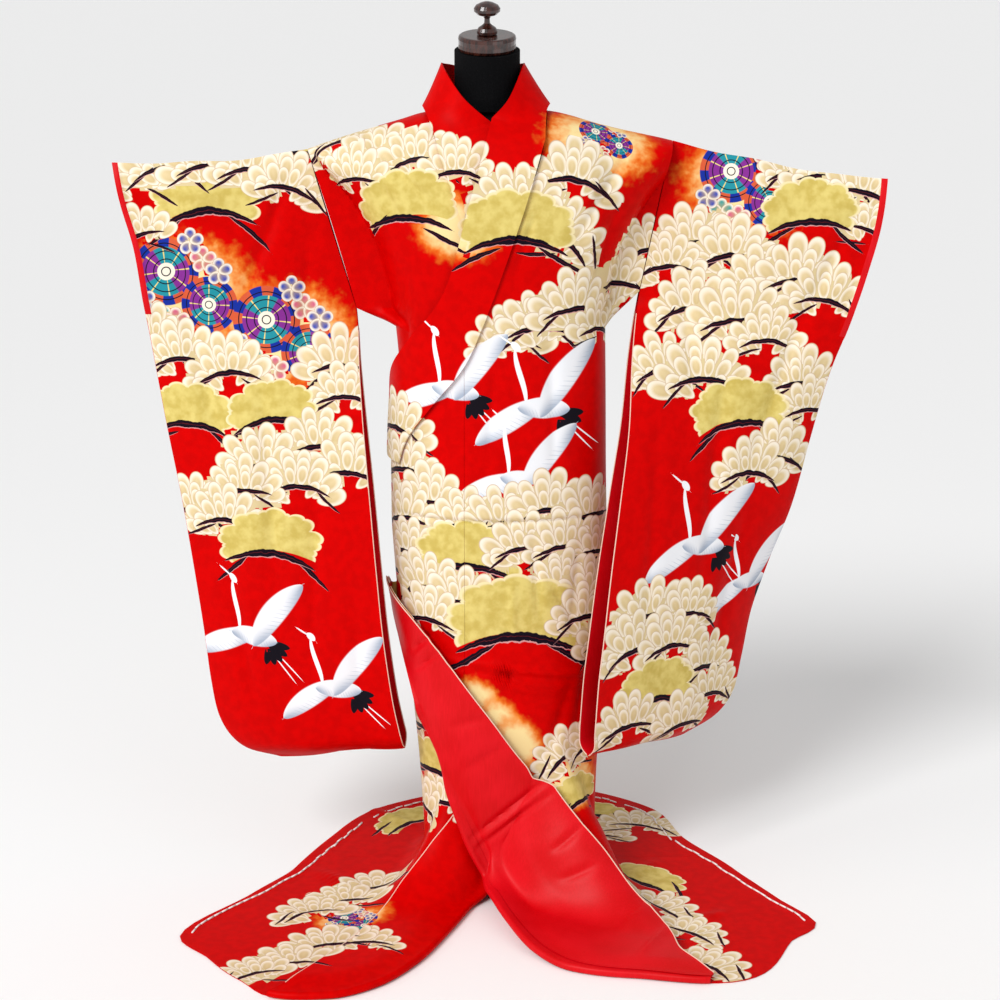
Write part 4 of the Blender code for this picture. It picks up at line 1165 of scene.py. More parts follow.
class Wire:
    """A value in a shader that can be written in formulas."""

    def __init__(self, tree, socket):
        self.tree, self.socket = tree, socket

    def via(self, kind, *given, out=0, **settings):
        return node(self.tree, kind, dict(enumerate(given)), out, **settings)

    def outputs(self):
        """All the outputs of the node that this value comes from."""
        return [Wire(self.tree, socket) for socket in self.socket.node.outputs]

    def math(self, operation, *given):
        return self.via("ShaderNodeMath", self, *given, operation=operation)

    def __add__(self, other):
        return self.math("ADD", other)

    def __sub__(self, other):
        return self.math("SUBTRACT", other)

    def __mul__(self, other):
        return self.math("MULTIPLY", other)

    def __truediv__(self, other):
        return self.math("DIVIDE", other)

    def __pow__(self, other):
        return self.math("POWER", other)

    def __neg__(self):
        return self.math("MULTIPLY", -1.0)

    def __rsub__(self, other):
        return self.math("MULTIPLY_ADD", -1.0, other)

    __radd__ = __add__
    __rmul__ = __mul__

    def step(self, start, end):
        """0 at start, 1 at end, smooth in between."""
        return self.via("ShaderNodeMapRange", self, start, end, 0.0, 1.0, interpolation_type="SMOOTHSTEP")

    def equals(self, number):
        return self.math("COMPARE", float(number), 0.25)

    def over(self, below, colour):
        """Colour where this value is 1, the colour below where it is 0."""
        below, colour = (shade if isinstance(shade, Wire) else (*shade, 1) for shade in (below, colour))
        return node(self.tree, "ShaderNodeMix", {0: self, 6: below, 7: colour}, out=2, data_type="RGBA")

    def noise(self, scale, detail, stretch=None):
        """A noise at these coordinates, which may be stretched first."""
        at = self if stretch is None else self.via("ShaderNodeMapping", self, None, None, stretch)
        return self.via("ShaderNodeTexNoise", at, None, scale, detail)

    def relief(self, strength, distance):
        """Normals of a surface whose height this value is."""
        return node(self.tree, "ShaderNodeBump", {"Strength": strength, "Distance": distance, "Height": self})


def attribute(tree, name, out="Fac"):
    """A value that the mesh carries."""
    return node(tree, "ShaderNodeAttribute", {}, out, attribute_name=name)


def object_place(tree):
    """Where a point of the piece lies in the piece's own coordinates."""
    return node(tree, "ShaderNodeTexCoord", {}, "Object")


def group_inputs(tree, **kinds):
    """The inputs of a node group as wires, by their names and kinds."""
    for name, kind in kinds.items():
        tree.interface.new_socket(name, in_out="INPUT", socket_type="NodeSocket" + kind)
    given = tree.nodes.new("NodeGroupInput")
    return [Wire(tree, given.outputs[place]) for place in range(len(kinds))]


def group_output(tree, name, kind, wire):
    """The one output of a node group."""
    tree.interface.new_socket(name, in_out="OUTPUT", socket_type="NodeSocket" + kind)
    tree.links.new(wire.socket, tree.nodes.new("NodeGroupOutput").inputs[0])


DYES = ((0.73, 0.58, 0.33), (0.010, 0.050, 0.42), (0.62, 0.10, 0.22), (0.02, 0.30, 0.30))
DYE_STEP = 0.2
PETAL_DEEP, PETAL_PALE, PETAL_RIM = (0.52, 0.38, 0.16), (0.88, 0.80, 0.67), (0.56, 0.40, 0.24)
# the first gold is the pads' darker tone and also their painted shade of cloth folds
GOLD_DEEP_AND_FOLD_SHADE, GOLD_LIGHT, GOLD_RIM = (0.55, 0.42, 0.10), (0.70, 0.57, 0.18), (0.82, 0.70, 0.40)
DULL_CREAM = (0.66, 0.53, 0.29)
BARK_RIM, BARK, BARK_VEIN = (0.62, 0.30, 0.30), (0.008, 0.004, 0.010), (0.22, 0.02, 0.02)
GLOW_HEART, GLOW_EDGE = (0.86, 0.68, 0.32), (0.80, 0.22, 0.02)
RIM_BLUE, RIM_RED = (0.010, 0.030, 0.30), (0.62, 0.10, 0.04)
FILL_TEAL, FILL_PURPLE = (0.02, 0.26, 0.32), (0.22, 0.03, 0.26)
SPOKE, HUB, WHEEL_LINE = (0.80, 0.62, 0.20), (0.86, 0.80, 0.66), (0.01, 0.008, 0.02)
PLUME_WHITE, PLUME_GREY = (0.80, 0.81, 0.84), (0.34, 0.40, 0.50)
PLUME_BLACK, NECK_WHITE = (0.008, 0.006, 0.010), (0.84, 0.85, 0.88)
GROUND_DEEP, GROUND_LIGHT = (0.53, 0.0, 0.0), (0.61, 0.0, 0.0)
LINING_DEEP, LINING_LIGHT = (0.56, 0.0, 0.002), (0.67, 0.003, 0.009)


def brush_marks(rich):
    """One level of brush marks: the colour below goes in, the colour on top comes out.

    Only the rich ones know more than petals, pads and branches, and take longer to render.
    """
    tree = bpy.data.node_groups.new("brush marks", "ShaderNodeTree")
    below, mark, seed, grain = group_inputs(tree, Below="Color", Mark="Vector", Seed="Float", Grain="Float")
    x, y, kind = mark.via("ShaderNodeSeparateXYZ", mark).outputs()
    square = x * x + y * y
    around = y.math("ARCTAN2", x)

    # round marks: a petal's egg, the middle of a gold pad, a wheel and a soft glow
    radius = square ** 0.5
    egg = ((y / (0.88 + 0.20 * x)) ** 2 + x * x) ** 0.5

    # long marks: a leaf along a bent line
    sway = kind.equals(NECK)
    bent = y + seed * (x * x + sway * (x * x * x - x - x * x))
    leaf = bent / (1 - x * x).math("MAXIMUM", 0.001) ** 0.6

    dye = seed.via("ShaderNodeValToRGB", seed)
    stops = dye.socket.node.color_ramp
    stops.interpolation = "CONSTANT"
    for place, shade in enumerate(DYES):
        stop = stops.elements[place] if place < 2 else stops.elements.new(place * DYE_STEP)
        stop.position = place * DYE_STEP
        stop.color = (*shade, 1)
    pale = egg.step(0.42, 0.86) * (1 - (y.math("ABSOLUTE") * 0.25))
    middle = (x * 0.5 + 0.5 - y.math("ABSOLUTE") * 0.4).step(-0.3, 0.9)
    petal = middle.over(PETAL_DEEP, dye)
    petal = pale.over(petal, PETAL_PALE)
    petal = egg.step(0.88, 1.0).over(petal, PETAL_RIM)
    colour = (kind.equals(PETAL) * (1 - egg.step(0.97, 1.02))).over(below, petal)

    # a pad: lobes along its upper edge and an arch below, with a pale rim
    lobes = (around * 4.5 + seed * 6.0).math("SINE").math("ABSOLUTE") ** 0.6
    small = (around * 7.5 + seed * 9.0).math("SINE").math("ABSOLUTE") ** 0.6
    edge = radius / (0.80 + 0.13 * lobes + 0.07 * small)
    arch = y + 0.62 * x * x + 0.22
    inside = (1 - edge.step(0.98, 1.0)) * arch.step(0.0, 0.02)
    # painted shade: the gold is darker in radial streaks, as under folds of the cloth, mixed with an uneven
    # tone of the gold itself
    painted_fold_shade_and_tone = (around * 5.0 + seed * 9.0).math("COSINE") * radius * 0.5 + (grain - 0.5) * 5.0
    flat = painted_fold_shade_and_tone.step(-1.2, 1.2).over(GOLD_DEEP_AND_FOLD_SHADE, GOLD_LIGHT)
    flat = edge.step(0.90, 0.96).over(flat, GOLD_RIM)
    flat = seed.math("GREATER_THAN", 1.5).over(flat, DULL_CREAM)
    colour = (kind.equals(PAD) * inside).over(colour, flat)

    rough = leaf + (grain - 0.5) * 1.3
    branch = (rough + 0.76).step(0.0, 0.08).over(BARK_RIM, BARK)
    branch = ((rough - 0.1).math("ABSOLUTE").step(0.10, 0.0) * 0.6).over(branch, BARK_VEIN)
    colour = (kind.equals(BRANCH) * (1 - rough.math("ABSOLUTE").step(0.86, 1.0))).over(colour, branch)

    if rich:
        cloudy = radius + (grain - 0.5) * 0.5
        warm = cloudy.step(0.35, 0.80).over(GLOW_HEART, GLOW_EDGE)
        colour = (kind.equals(HALO) * (1 - cloudy.step(0.60, 0.98))).over(colour, warm)

        rim = (around * 8.0 + seed * 6).math("SINE").step(-0.1, 0.1).over(RIM_BLUE, RIM_RED)
        fill = (around * 2.0 + seed * 3).math("SINE").step(-0.1, 0.1).over(FILL_TEAL, FILL_PURPLE)
        spokes = (around * 4.0 + seed * 6).math("COSINE").math("ABSOLUTE").step(0.10, 0.16)
        fill = spokes.over(SPOKE, fill)
        disc = radius.step(0.70, 0.72).over(fill, rim)
        disc = radius.step(0.24, 0.26).over(HUB, disc)
        lines = (radius * 4.35 + 0.46).math("FRACT").math("SUBTRACT", 0.5).math("ABSOLUTE").step(0.40, 0.46)
        disc = lines.over(disc, WHEEL_LINE)
        colour = (kind.equals(WHEEL) * (1 - radius.step(0.97, 1.0))).over(colour, disc)

        leaf_in = 1 - leaf.math("ABSOLUTE").step(0.86, 1.0)
        colour = (kind.equals(BLACK) * leaf_in).over(colour, PLUME_BLACK)

        wing = kind.equals(WING)
        plume = (x.math("ABSOLUTE") * 0.9 - leaf * 0.5).step(0.25, 1.2).over(PLUME_WHITE, PLUME_GREY)
        feathers = (x * 8.0 + leaf * 1.5).math("FRACT").math("SUBTRACT", 0.5).math("ABSOLUTE").step(0.40, 0.5)
        plume = (feathers * (1 - leaf.step(-0.5, 0.0)) * 0.7).over(plume, PLUME_GREY)
        colour = (wing * leaf_in).over(colour, plume)
        colour = (sway * leaf_in).over(colour, NECK_WHITE)

    group_output(tree, "Colour", "Color", colour)
    return tree


def paint_silk():
    """Red satin with the design on it; the marks are worked out only where there are any."""
    tree = painted_silk.node_tree
    tree.nodes.remove(tree.nodes["Principled BSDF"])
    slubs = object_place(tree).noise(60.0, 2.0)
    ground = slubs.step(0.3, 0.7).over(GROUND_DEEP, GROUND_LIGHT)
    ground_deep = attribute(tree, "buried").over(ground, DULL_CREAM)
    relief = slubs.relief(0.2, 0.0008)
    groups = [brush_marks(rich) for rich in (False, True)]
    marks_here = [attribute(tree, f"mark_{level + 1}", "Color") for level in range(DEPTH)]

    def satin(levels, rich):
        """The shader of silk that carries this many levels of marks."""
        colour = ground_deep if levels == DEPTH else ground
        for mark in reversed(marks_here[:levels]):
            seed = Wire(tree, mark.socket.node.outputs["Alpha"])
            sockets = {0: colour, 1: mark, 2: seed, 3: slubs}
            colour = node(tree, "ShaderNodeGroup", sockets, node_tree=groups[rich])
        return node(tree, "ShaderNodeBsdfPrincipled", {
            "Base Color": colour, "Normal": relief, "Roughness": 0.42, "Specular IOR Level": 0.03,
        })

    ends = []
    for rich in (False, True):
        finish = satin(0, rich)
        for level in range(DEPTH):
            kind = slubs.via("ShaderNodeSeparateXYZ", marks_here[level]).outputs()[2]
            marked = kind.math("GREATER_THAN", 0.5)
            finish = slubs.via("ShaderNodeMixShader", marked, finish, satin(level + 1, rich))
        ends.append(finish)
    finish = slubs.via("ShaderNodeMixShader", attribute(tree, "rich"), *ends)
    tree.links.new(finish.socket, tree.nodes["Material Output"].inputs["Surface"])


def weave_lining():
    """Plain-woven crimson silk: slightly uneven threads along the cloth, and a soft sheen."""
    tree = red_lining.node_tree
    place = object_place(tree)
    threads = place.noise(1.0, 2.0, (420.0, 420.0, 36.0))
    clouds = place.noise(14.0, 2.0)
    mixed = (threads * 0.4 + clouds * 0.6).step(0.3, 0.7)
    feed(tree, tree.nodes["Principled BSDF"], {
        "Base Color": mixed.over(LINING_DEEP, LINING_LIGHT),
        "Normal": threads.relief(0.25, 0.0006),
        "Roughness": clouds * 0.12 + 0.38,
        "Specular IOR Level": 0.15,
    })


paint_silk()
weave_lining()

# Each design: its motifs in painting order, with the places of each as seen from the front,
# or from above on the train: across, up (or back), turn in degrees and size.
RIGHT_SLEEVE_DESIGN = (
    (glow, (-0.53, 1.10, 0, 1.45), (-0.36, 1.02, 0, 1.45)),
    (wheel, (-0.53, 1.10, 0, 1.2), (-0.36, 1.02, 0, 1.2)),
    (gold, (-0.49, 1.24, 0, 1.2), (-0.31, 1.34, -10, 0.9)),
    (pine, (-0.62, 1.29, 20, 0.9), (-0.56, 1.32, 5, 0.9), (-0.48, 1.32, 0, 0.9), (-0.41, 1.31, -5, 0.9),
           (-0.35, 1.28, -15, 0.85), (-0.62, 1.19, 25, 0.7), (-0.60, 1.01, 0, 0.8), (-0.54, 0.98, 5, 0.85),
           (-0.46, 0.96, 5, 0.9), (-0.25, 0.97, -5, 0.9), (-0.25, 0.92, 0, 0.8)),
    (gold, (-0.53, 0.87, -5, 1.05), (-0.38, 0.88, 8, 1.0)),
    (pine, (-0.30, 0.83, 0, 0.9), (-0.24, 0.79, -10, 0.9), (-0.40, 0.80, 5, 0.9), (-0.34, 0.76, 0, 0.9),
           (-0.44, 0.75, 8, 0.8), (-0.53, 0.71, 8, 0.85), (-0.47, 0.69, 0, 0.9)),
    (gold, (-0.39, 0.64, 0, 1.15),),
    (crane, (-0.43, 0.47, -4, 1.05), (-0.28, 0.38, 4, 1.0)),
)
LEFT_SLEEVE_DESIGN = (
    (glow, (0.46, 1.28, 0, 1.45),),
    (wheel, (0.45, 1.28, 0, 1.1),),
    (pine, (0.54, 1.32, 0, 0.8), (0.60, 1.30, -10, 0.9), (0.66, 1.27, -20, 0.9), (0.68, 1.20, -30, 0.7)),
    (gold, (0.56, 1.22, 5, 1.05),),
    (pine, (0.36, 1.18, 5, 0.9), (0.43, 1.16, 0, 0.9), (0.31, 1.14, 12, 0.8), (0.48, 1.11, 0, 0.85),
           (0.55, 1.12, -5, 1.0), (0.60, 1.08, -12, 0.9), (0.36, 1.07, 5, 0.9), (0.44, 1.05, 0, 1.0),
           (0.50, 1.01, -8, 0.8), (0.31, 0.97, 5, 0.85), (0.38, 0.95, 0, 0.95), (0.56, 0.93, 0, 0.85),
           (0.58, 0.88, -8, 0.8)),
    (gold, (0.45, 0.87, 0, 1.15),),
    (pine, (0.52, 0.80, -5, 0.9), (0.47, 0.77, 0, 0.85)),
    (crane, (0.38, 0.65, -4, 1.1), (0.48, 0.56, 2, 0.95)),
    (pine, (0.29, 0.54, 0, 0.95), (0.36, 0.53, -5, 0.85), (0.26, 0.48, 5, 0.9), (0.33, 0.47, 0, 0.9),
           (0.40, 0.41, -8, 0.9), (0.42, 0.35, -12, 0.8)),
    (gold, (0.30, 0.38, 0, 1.1),),
    (pine, (0.25, 0.34, 5, 0.9), (0.35, 0.31, 0, 0.9)),
)
FRONT_DESIGN = (
    (glow, (0.19, 1.36, 0, 1.2), (-0.05, 1.22, 0, 0.9), (-0.015, 0.375, -58, 0.58),
           (0.02, 0.335, -58, 0.62), (0.055, 0.295, -58, 0.66), (0.15, 0.22, 0, 0.8)),
    (wheel, (0.20, 1.36, 0, 0.60)),
    (pine, (-0.26, 1.36, 15, 0.8), (-0.19, 1.34, 10, 0.9), (-0.12, 1.33, 5, 0.85), (-0.045, 1.315, 0, 0.8),
           (-0.23, 1.30, 10, 0.75)),
    (gold, (-0.14, 1.24, 8, 1.15),),
    (pine, (0.15, 1.30, -12, 0.95), (0.05, 1.262, 8, 0.85), (0.13, 1.20, -35, 0.95)),
    (gold, (0.05, 1.20, 0, 1.2),),
    (pine, (0.28, 1.17, 15, 0.8), (0.23, 1.11, -5, 0.85), (0.04, 1.03, 8, 0.8), (0.09, 1.05, 5, 0.9),
           (0.15, 1.08, 0, 0.9), (0.20, 1.04, -10, 0.8)),
    (crane, (-0.06, 0.94, -4, 1.0), (0.09, 0.91, 2, 1.1), (0.06, 0.78, -6, 1.0)),
    (pine, (-0.16, 0.86, 0, 0.9), (-0.15, 0.79, 5, 0.9), (-0.10, 0.74, 0, 0.9), (-0.15, 0.70, 5, 0.9),
           (-0.04, 0.70, 0, 0.85), (0.03, 0.71, 5, 0.9), (0.11, 0.73, 0, 0.9), (0.18, 0.71, -5, 0.9),
           (-0.14, 0.64, 0, 0.85), (-0.17, 0.59, 5, 0.8)),
    (gold, (-0.03, 0.63, 0, 1.2),),
    (pine, (0.07, 0.66, 5, 0.85), (0.14, 0.66, 0, 0.9), (0.20, 0.64, -10, 0.85), (0.13, 0.59, 0, 0.8),
           (0.19, 0.57, -8, 0.9), (-0.11, 0.58, 5, 0.9), (-0.05, 0.56, 0, 0.85), (-0.11, 0.52, 5, 0.85)),
    (gold, (0.06, 0.50, 0, 1.6),),
    (pine, (0.18, 0.52, -5, 0.9), (0.21, 0.46, -10, 0.85)),
    (pine, (0.14, 0.27, 25, 0.75), (0.19, 0.28, 15, 0.7)),
    (gold, (0.17, 0.19, 10, 0.7),),
)
UNDER_DESIGN = (
    (gold, (-0.12, 0.36, 0, 0.9),),
    (pine, (-0.11, 0.30, 0, 0.9), (-0.08, 0.17, 0, 0.8)),
    (gold, (-0.10, 0.22, 0, 0.9),),
    (pine, (-0.12, 0.13, 0, 0.9),),
)
BACK_DESIGN = (
    (glow, (-0.12, 1.13, 0, 1.45), (0.13, 0.62, 0, 1.45)),
    (wheel, (-0.12, 1.13, 0, 1.2), (0.13, 0.62, 0, 1.2)),
    (pine, (0.20, 1.33, -10, 0.8), (0.12, 1.34, -5, 0.85), (0.05, 1.33, 0, 0.85), (-0.03, 1.33, 0, 0.9),
           (-0.11, 1.34, 5, 0.9), (-0.19, 1.32, 10, 0.8), (0.17, 1.27, 0, 0.9), (-0.15, 1.27, 0, 0.85),
           (-0.19, 1.22, 10, 0.8), (0.02, 1.28, 0, 0.9)),
    (gold, (0.11, 1.24, 0, 1.2), (-0.06, 1.25, 5, 1.0)),
    (pine, (0.15, 1.17, -5, 0.9), (0.10, 1.12, 0, 0.9), (0.04, 1.08, 5, 0.9), (0.00, 1.02, 0, 0.9)),
    (crane, (-0.06, 0.93, -4, 1.05), (0.10, 0.87, 4, 1.05), (-0.04, 0.74, 0, 1.0)),
    (pine, (-0.16, 0.82, 5, 0.9), (-0.17, 0.74, 0, 0.9), (-0.12, 0.68, 0, 0.9), (-0.15, 0.61, 5, 0.9),
           (-0.08, 0.60, 0, 0.9), (0.20, 0.72, -10, 0.8), (0.02, 0.62, 0, 0.9)),
    (gold, (-0.05, 0.54, 0, 1.4),),
    (pine, (-0.15, 0.49, 0, 0.9), (0.05, 0.47, 0, 0.95), (0.12, 0.43, -5, 0.9), (0.18, 0.46, -8, 0.9),
           (-0.14, 0.40, 5, 0.9), (0.18, 0.38, -5, 0.9)),
    (gold, (0.10, 0.34, 0, 1.2), (-0.12, 0.30, 0, 1.1)),
    (pine, (-0.04, 0.26, 0, 0.95), (0.04, 0.22, 0, 0.9), (0.16, 0.24, 0, 0.9), (-0.16, 0.20, 5, 0.9),
           (0.11, 0.15, 0, 0.9), (-0.08, 0.14, 0, 0.9)),
)
RIGHT_TRAIN_DESIGN = (
    (gold, (-0.18, -0.01, 25, 1.1), (-0.16, 0.16, 40, 1.0)),
    (glow, (-0.24, -0.27, 0, 0.8),),
    (wheel, (-0.24, -0.27, 0, 0.6),),
    (pine, (-0.21, -0.13, 15, 0.9), (-0.27, -0.18, 20, 0.9), (-0.32, -0.23, 25, 0.85), (-0.21, -0.37, 0, 0.8),
           (-0.28, -0.35, 15, 0.9), (-0.34, -0.42, 25, 0.9), (-0.40, -0.45, 30, 0.8), (-0.24, 0.05, 40, 0.9)),
)
LEFT_TRAIN_DESIGN = (
    (gold, (0.28, -0.11, -30, 1.1), (0.20, 0.20, -20, 1.0)),
    (pine, (0.21, 0.10, 0, 0.8), (0.26, 0.05, -15, 0.9), (0.22, -0.03, -10, 0.9), (0.31, -0.21, -35, 0.9),
           (0.36, -0.31, -40, 0.8), (0.37, -0.43, -40, 0.9), (0.30, 0.15, -15, 0.9)),
)
FRONT, BEHIND, ABOVE = (0, 1, 0), (0, -1, 0), (0, 0, -1)


def lay_out(canvas, design, looking, seed):
    """Paints a design on a canvas, as seen along a direction."""
    dice = np.random.default_rng(seed)
    for motif, *places in design:
        for across, up, turn, size in places:
            place = (across, 0, up) if looking[2] == 0 else (across, up, 0)
            motif(canvas, canvas.spot(place, looking), size, math.radians(turn), dice)


canvas = Canvas("body_left", "overlap_left", "collar", "body_right", "overlap_right")
lay_out(canvas, UNDER_DESIGN, FRONT, 11)
lay_out(canvas, RIGHT_TRAIN_DESIGN, ABOVE, 12)
lay_out(canvas, LEFT_TRAIN_DESIGN, ABOVE, 13)
lay_out(canvas, BACK_DESIGN, BEHIND, 17)
lay_out(canvas, FRONT_DESIGN, FRONT, 14)
canvas.finish()
SLEEVE_DESIGNS = {"sleeve_right": (RIGHT_SLEEVE_DESIGN, 15), "sleeve_left": (LEFT_SLEEVE_DESIGN, 16)}
for name, (design, seed) in SLEEVE_DESIGNS.items():
    canvas = Canvas(name)
    lay_out(canvas, design, FRONT, seed)
    lay_out(canvas, design, BEHIND, seed + 5)
    canvas.finish()


# ---- piping and basting -----------------------------------------------------------------
# Pale piping edges the turned-back fronts and the sleeves' openings.  Long white basting
# stitches still hold the hem, laid a finger's width inside its rim.
AROUND = 8


def thread_maker(name, stitched):
    """Geometry nodes that turn a line of points into piping, or into a row of stitches."""
    tree = bpy.data.node_groups.new(name, "GeometryNodeTree")
    sizes = {"Radius": "Float", "Pitch": "Float", "Length": "Float", "Seed": "Int"}
    given = group_inputs(tree, Geometry="Geometry", **sizes, Material="Material")
    geometry, radius, pitch, length, seed, finish = given
    line = {"Curve": geometry.via("GeometryNodeMeshToCurve", geometry), "Length": pitch}
    even = node(tree, "GeometryNodeResampleCurve", line, mode="LENGTH")
    if stitched:
        points = node(tree, "GeometryNodeCurveToPoints", {0: even}, "Points", mode="EVALUATED")
        stitch = {"Vertices": AROUND, "Radius": radius, "Depth": length}
        uneven = {"Min": (1.0, 1.0, 0.88), "Max": (1.0, 1.0, 1.10), "Seed": seed}
        placed = node(tree, "GeometryNodeInstanceOnPoints", {
            "Points": points,
            "Instance": node(tree, "GeometryNodeMeshCylinder", stitch, "Mesh"),
            "Rotation": Wire(tree, points.socket.node.outputs["Rotation"]),
            "Scale": node(tree, "FunctionNodeRandomValue", uneven, "Value", data_type="FLOAT_VECTOR"),
        })
        thread = placed.via("GeometryNodeRealizeInstances", placed)
    else:
        profile = {"Resolution": AROUND, "Radius": radius}
        ring = node(tree, "GeometryNodeCurvePrimitiveCircle", profile, "Curve")
        tube = {"Curve": even, "Profile Curve": ring, "Fill Caps": True}
        thread = node(tree, "GeometryNodeCurveToMesh", tube)
    dyed = node(tree, "GeometryNodeSetMaterial", {"Geometry": thread, "Material": finish})
    group_output(tree, "Geometry", "Geometry", dyed)
    return tree


piping = thread_maker("piping", False)
basting = thread_maker("basting", True)


def sewn_line(name, lines, maker, finish, **sizes):
    """Piping or stitches along some lines of points, as one piece that rides the garment."""
    points = np.concatenate(lines)
    ends = np.cumsum([len(line) for line in lines])
    edges = [(i, i + 1) for i in range(len(points) - 1) if i + 1 not in ends]
    mesh = bpy.data.meshes.new(name)
    mesh.from_pydata(points.tolist(), edges, [])
    piece = bpy.data.objects.new(name, mesh)
    bpy.context.scene.collection.objects.link(piece)
    modifier = piece.modifiers.new("thread", "NODES")
    modifier.node_group = maker
    inputs = {item.name: item.identifier for item in maker.interface.items_tree if item.in_out == "INPUT"}
    for label, value in {"Material": finish, **sizes}.items():
        modifier[inputs[label]] = value
    made = bpy.data.meshes.new_from_object(piece.evaluated_get(bpy.context.evaluated_depsgraph_get()))
    piece.modifiers.clear()
    piece.data = made
    made.shade_smooth()
    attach(piece, "root")
    return piece


def finish_from(name, recipe_of):
    """A material whose shader gets what a recipe makes of its object coordinates."""
    made = bpy.data.materials.new(name)
    made.use_nodes = True
    tree = made.node_tree
    feed(tree, tree.nodes["Principled BSDF"], recipe_of(object_place(tree)))
    return made


def thread_finish(name, colour, ply):
    """Thread or cord: a plain dye with the twist of its plies as fine ridges."""

    def recipe(place):
        twist = place.noise(ply, 2.0)
        shade = twist.step(0.3, 0.7).over(tuple(0.86 * part for part in colour), colour)
        return {"Base Color": shade, "Normal": twist.relief(0.4, 0.0005), "Roughness": 0.8}

    return finish_from(name, recipe)


pale_cord = thread_finish("pale piping", (0.86, 0.58, 0.46), 700.0)
white_thread = thread_finish("white thread", (0.92, 0.90, 0.88), 900.0)

for name, line in flap_edges.items():
    sewn_line(name.replace("lining", "piping"), [line], piping, pale_cord, Radius=0.0011, Pitch=0.004)
for name, lines in sleeve_edges.items():
    sewn_line(name + "_piping", lines, piping, pale_cord, Radius=0.0010, Pitch=0.005)

HEM_INSET = 0.026
HEM_SWAY = 0.0015
HEM_RISE = 0.0020
STITCHES = {"Radius": 0.0016, "Pitch": 0.018, "Length": 0.0172}
RIGHT_HEM = ((-60.5, -98), (-99.5, -118), (-127, -150), (-154, -178))
LEFT_HEM = ((64.5, 100), (104, 112), (117, 132), (138, 177))


def hem_line(start, end, limit, lift):
    """A stretch of basting on the spread hem, a finger's width inside the rim."""
    angles = np.linspace(start, end, 60)
    runs = limit(angles) - HEM_INSET + HEM_SWAY * np.sin(angles * 0.9)
    return skirt(angles, runs, lift(angles, runs) + HEM_RISE)


right_hem = [hem_line(*ends, under_limit, under_lift) for ends in RIGHT_HEM]
left_hem = [hem_line(*ends, upper_limit, upper_lift) for ends in LEFT_HEM]
sewn_line("basting_right", right_hem, basting, white_thread, **STITCHES, Seed=5)
sewn_line("basting_left", left_hem, basting, white_thread, **STITCHES, Seed=6)


# ---- dress form -------------------------------------------------------------------------
# A limbless body form in black velvet, with a turned and polished mahogany cap and knob on
# its neck, on a steel pole and foot.
def dress(name, finish):
    """Puts a finish on a node of the model that stays in view."""
    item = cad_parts[name]
    for place in range(len(item.data.materials)):
        item.material_slots[place].material = finish


def velvet(place):
    """Black pile, a little brushed."""
    pile, brushed = place.noise(420.0, 3.0), place.noise(9.0, 2.0)
    mixed = (pile * 0.5 + brushed * 0.5).step(0.35, 0.65)
    return {
        "Base Color": mixed.over((0.0010, 0.0010, 0.0014), (0.0035, 0.0035, 0.0042)),
        "Normal": pile.relief(0.5, 0.0012),
        "Roughness": 0.9,
        "Specular IOR Level": 0.10,
    }


def mahogany(place):
    """Dark red wood with its grain along the height, under a clear polish."""
    grain = place.noise(3.0, 4.0, (60.0, 60.0, 9.0))
    return {
        "Base Color": grain.step(0.35, 0.65).over((0.012, 0.003, 0.002), (0.060, 0.014, 0.008)),
        "Roughness": grain * 0.10 + 0.14,
        "Coat Weight": 0.6,
        "Coat Roughness": 0.06,
    }


def steel(place):
    """Steel with a dark grey paint."""
    grain = place.noise(180.0, 2.0)
    return {
        "Base Color": grain.step(0.3, 0.7).over((0.020, 0.020, 0.022), (0.034, 0.034, 0.038)),
        "Roughness": grain * 0.15 + 0.35,
        "Metallic": 0.6,
    }


wood = finish_from("polished mahogany", mahogany)
metal = finish_from("painted steel", steel)
dress("form_body", finish_from("black velvet", velvet))
for name, finish in (("form_cap", wood), ("form_finial", wood), ("stand_pole", metal), ("stand_base", metal)):
    dress(name, finish)


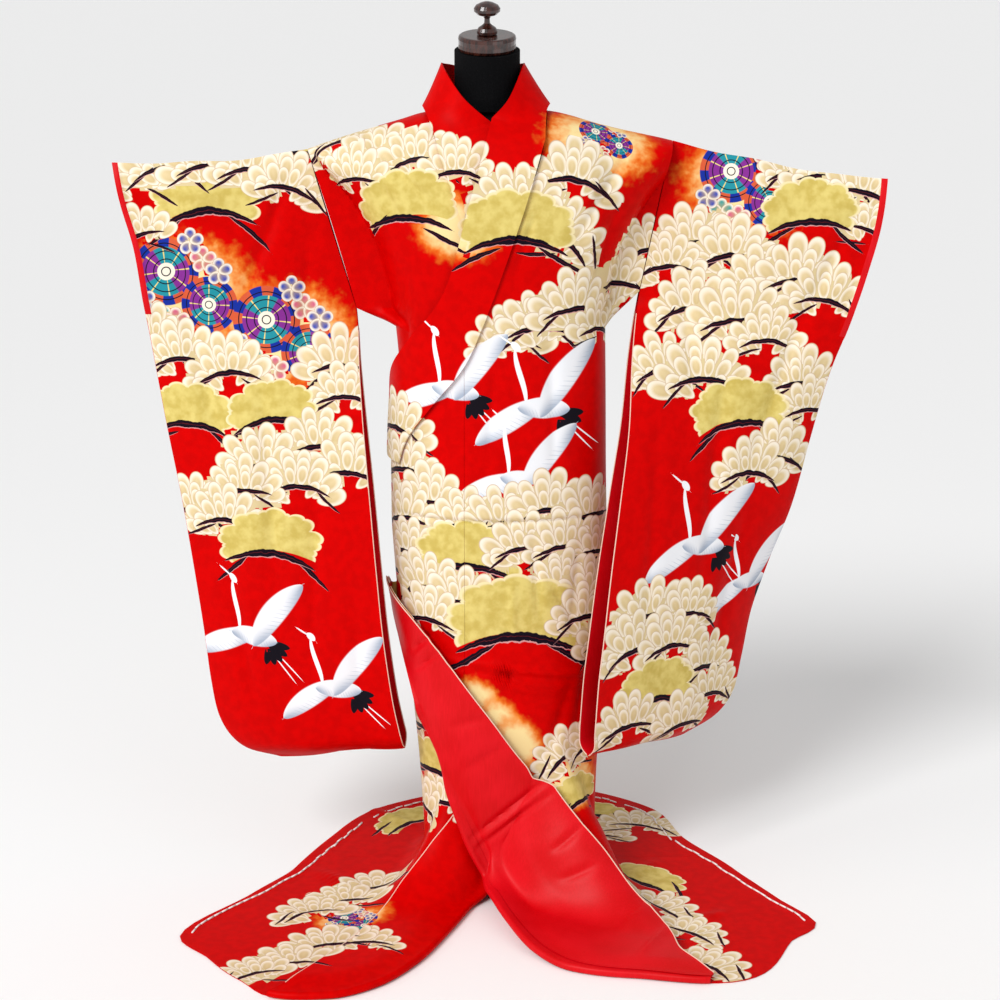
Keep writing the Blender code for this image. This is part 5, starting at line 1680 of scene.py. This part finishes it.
# ---- stage ------------------------------------------------------------------------------
# A pale floor without end in a white room, lit by a large soft window to the front left and
# by two weak lamps that fill the shadows.  The camera looks down on the garment a little.
CAMERA_AT = (0.022, -3.4, 1.6)
CAMERA_DOWN = 14.7
CAMERA_LENS = 1930 / 1000 * 36
FLOOR_SIZE = 4000
FLOOR_GREY = 0.93
LAMP_AIM = (0, 0, 0.8)
LAMPS = (
    ("fill", (2.5, -3.0, 2.0), 2.5, 14),
    ("rim", (-2.6, -1.2, 2.6), 1.6, 16),
)
WINDOW_LIGHT = 2.1
WINDOW_SPREAD = 24
WINDOW_AIM = (1.5, 2.2, -2.1)
ROOM_LIGHT = 0.52

camera = bpy.data.objects.new("camera", bpy.data.cameras.new("camera"))
bpy.context.scene.collection.objects.link(camera)
camera.location = CAMERA_AT
camera.rotation_euler = (math.radians(90 - CAMERA_DOWN), 0, 0)
camera.data.lens = CAMERA_LENS
bpy.context.scene.camera = camera
bpy.context.scene.view_settings.view_transform = "Standard"
bpy.ops.mesh.primitive_plane_add(size=FLOOR_SIZE)
floor = bpy.context.object
floor.name = "floor"
floor.data.materials.append(plain_finish("pale floor", (FLOOR_GREY,) * 3, 0.6))
for name, place, size, power in LAMPS:
    lamp = bpy.data.objects.new(name, bpy.data.lights.new(name, "AREA"))
    lamp.data.size = size
    lamp.data.energy = power
    lamp.location = place
    lamp.rotation_euler = (Vector(LAMP_AIM) - lamp.location).to_track_quat("-Z", "Y").to_euler()
    bpy.context.scene.collection.objects.link(lamp)
window = bpy.data.objects.new("window", bpy.data.lights.new("window", "SUN"))
window.data.energy = WINDOW_LIGHT
window.data.angle = math.radians(WINDOW_SPREAD)
window.rotation_euler = Vector(WINDOW_AIM).to_track_quat("-Z", "Y").to_euler()
bpy.context.scene.collection.objects.link(window)
world = bpy.data.worlds.new("room")
bpy.context.scene.world = world
world.use_nodes = True
world.node_tree.nodes["Background"].inputs["Color"].default_value = (1, 1, 1, 1)
world.node_tree.nodes["Background"].inputs["Strength"].default_value = ROOM_LIGHT
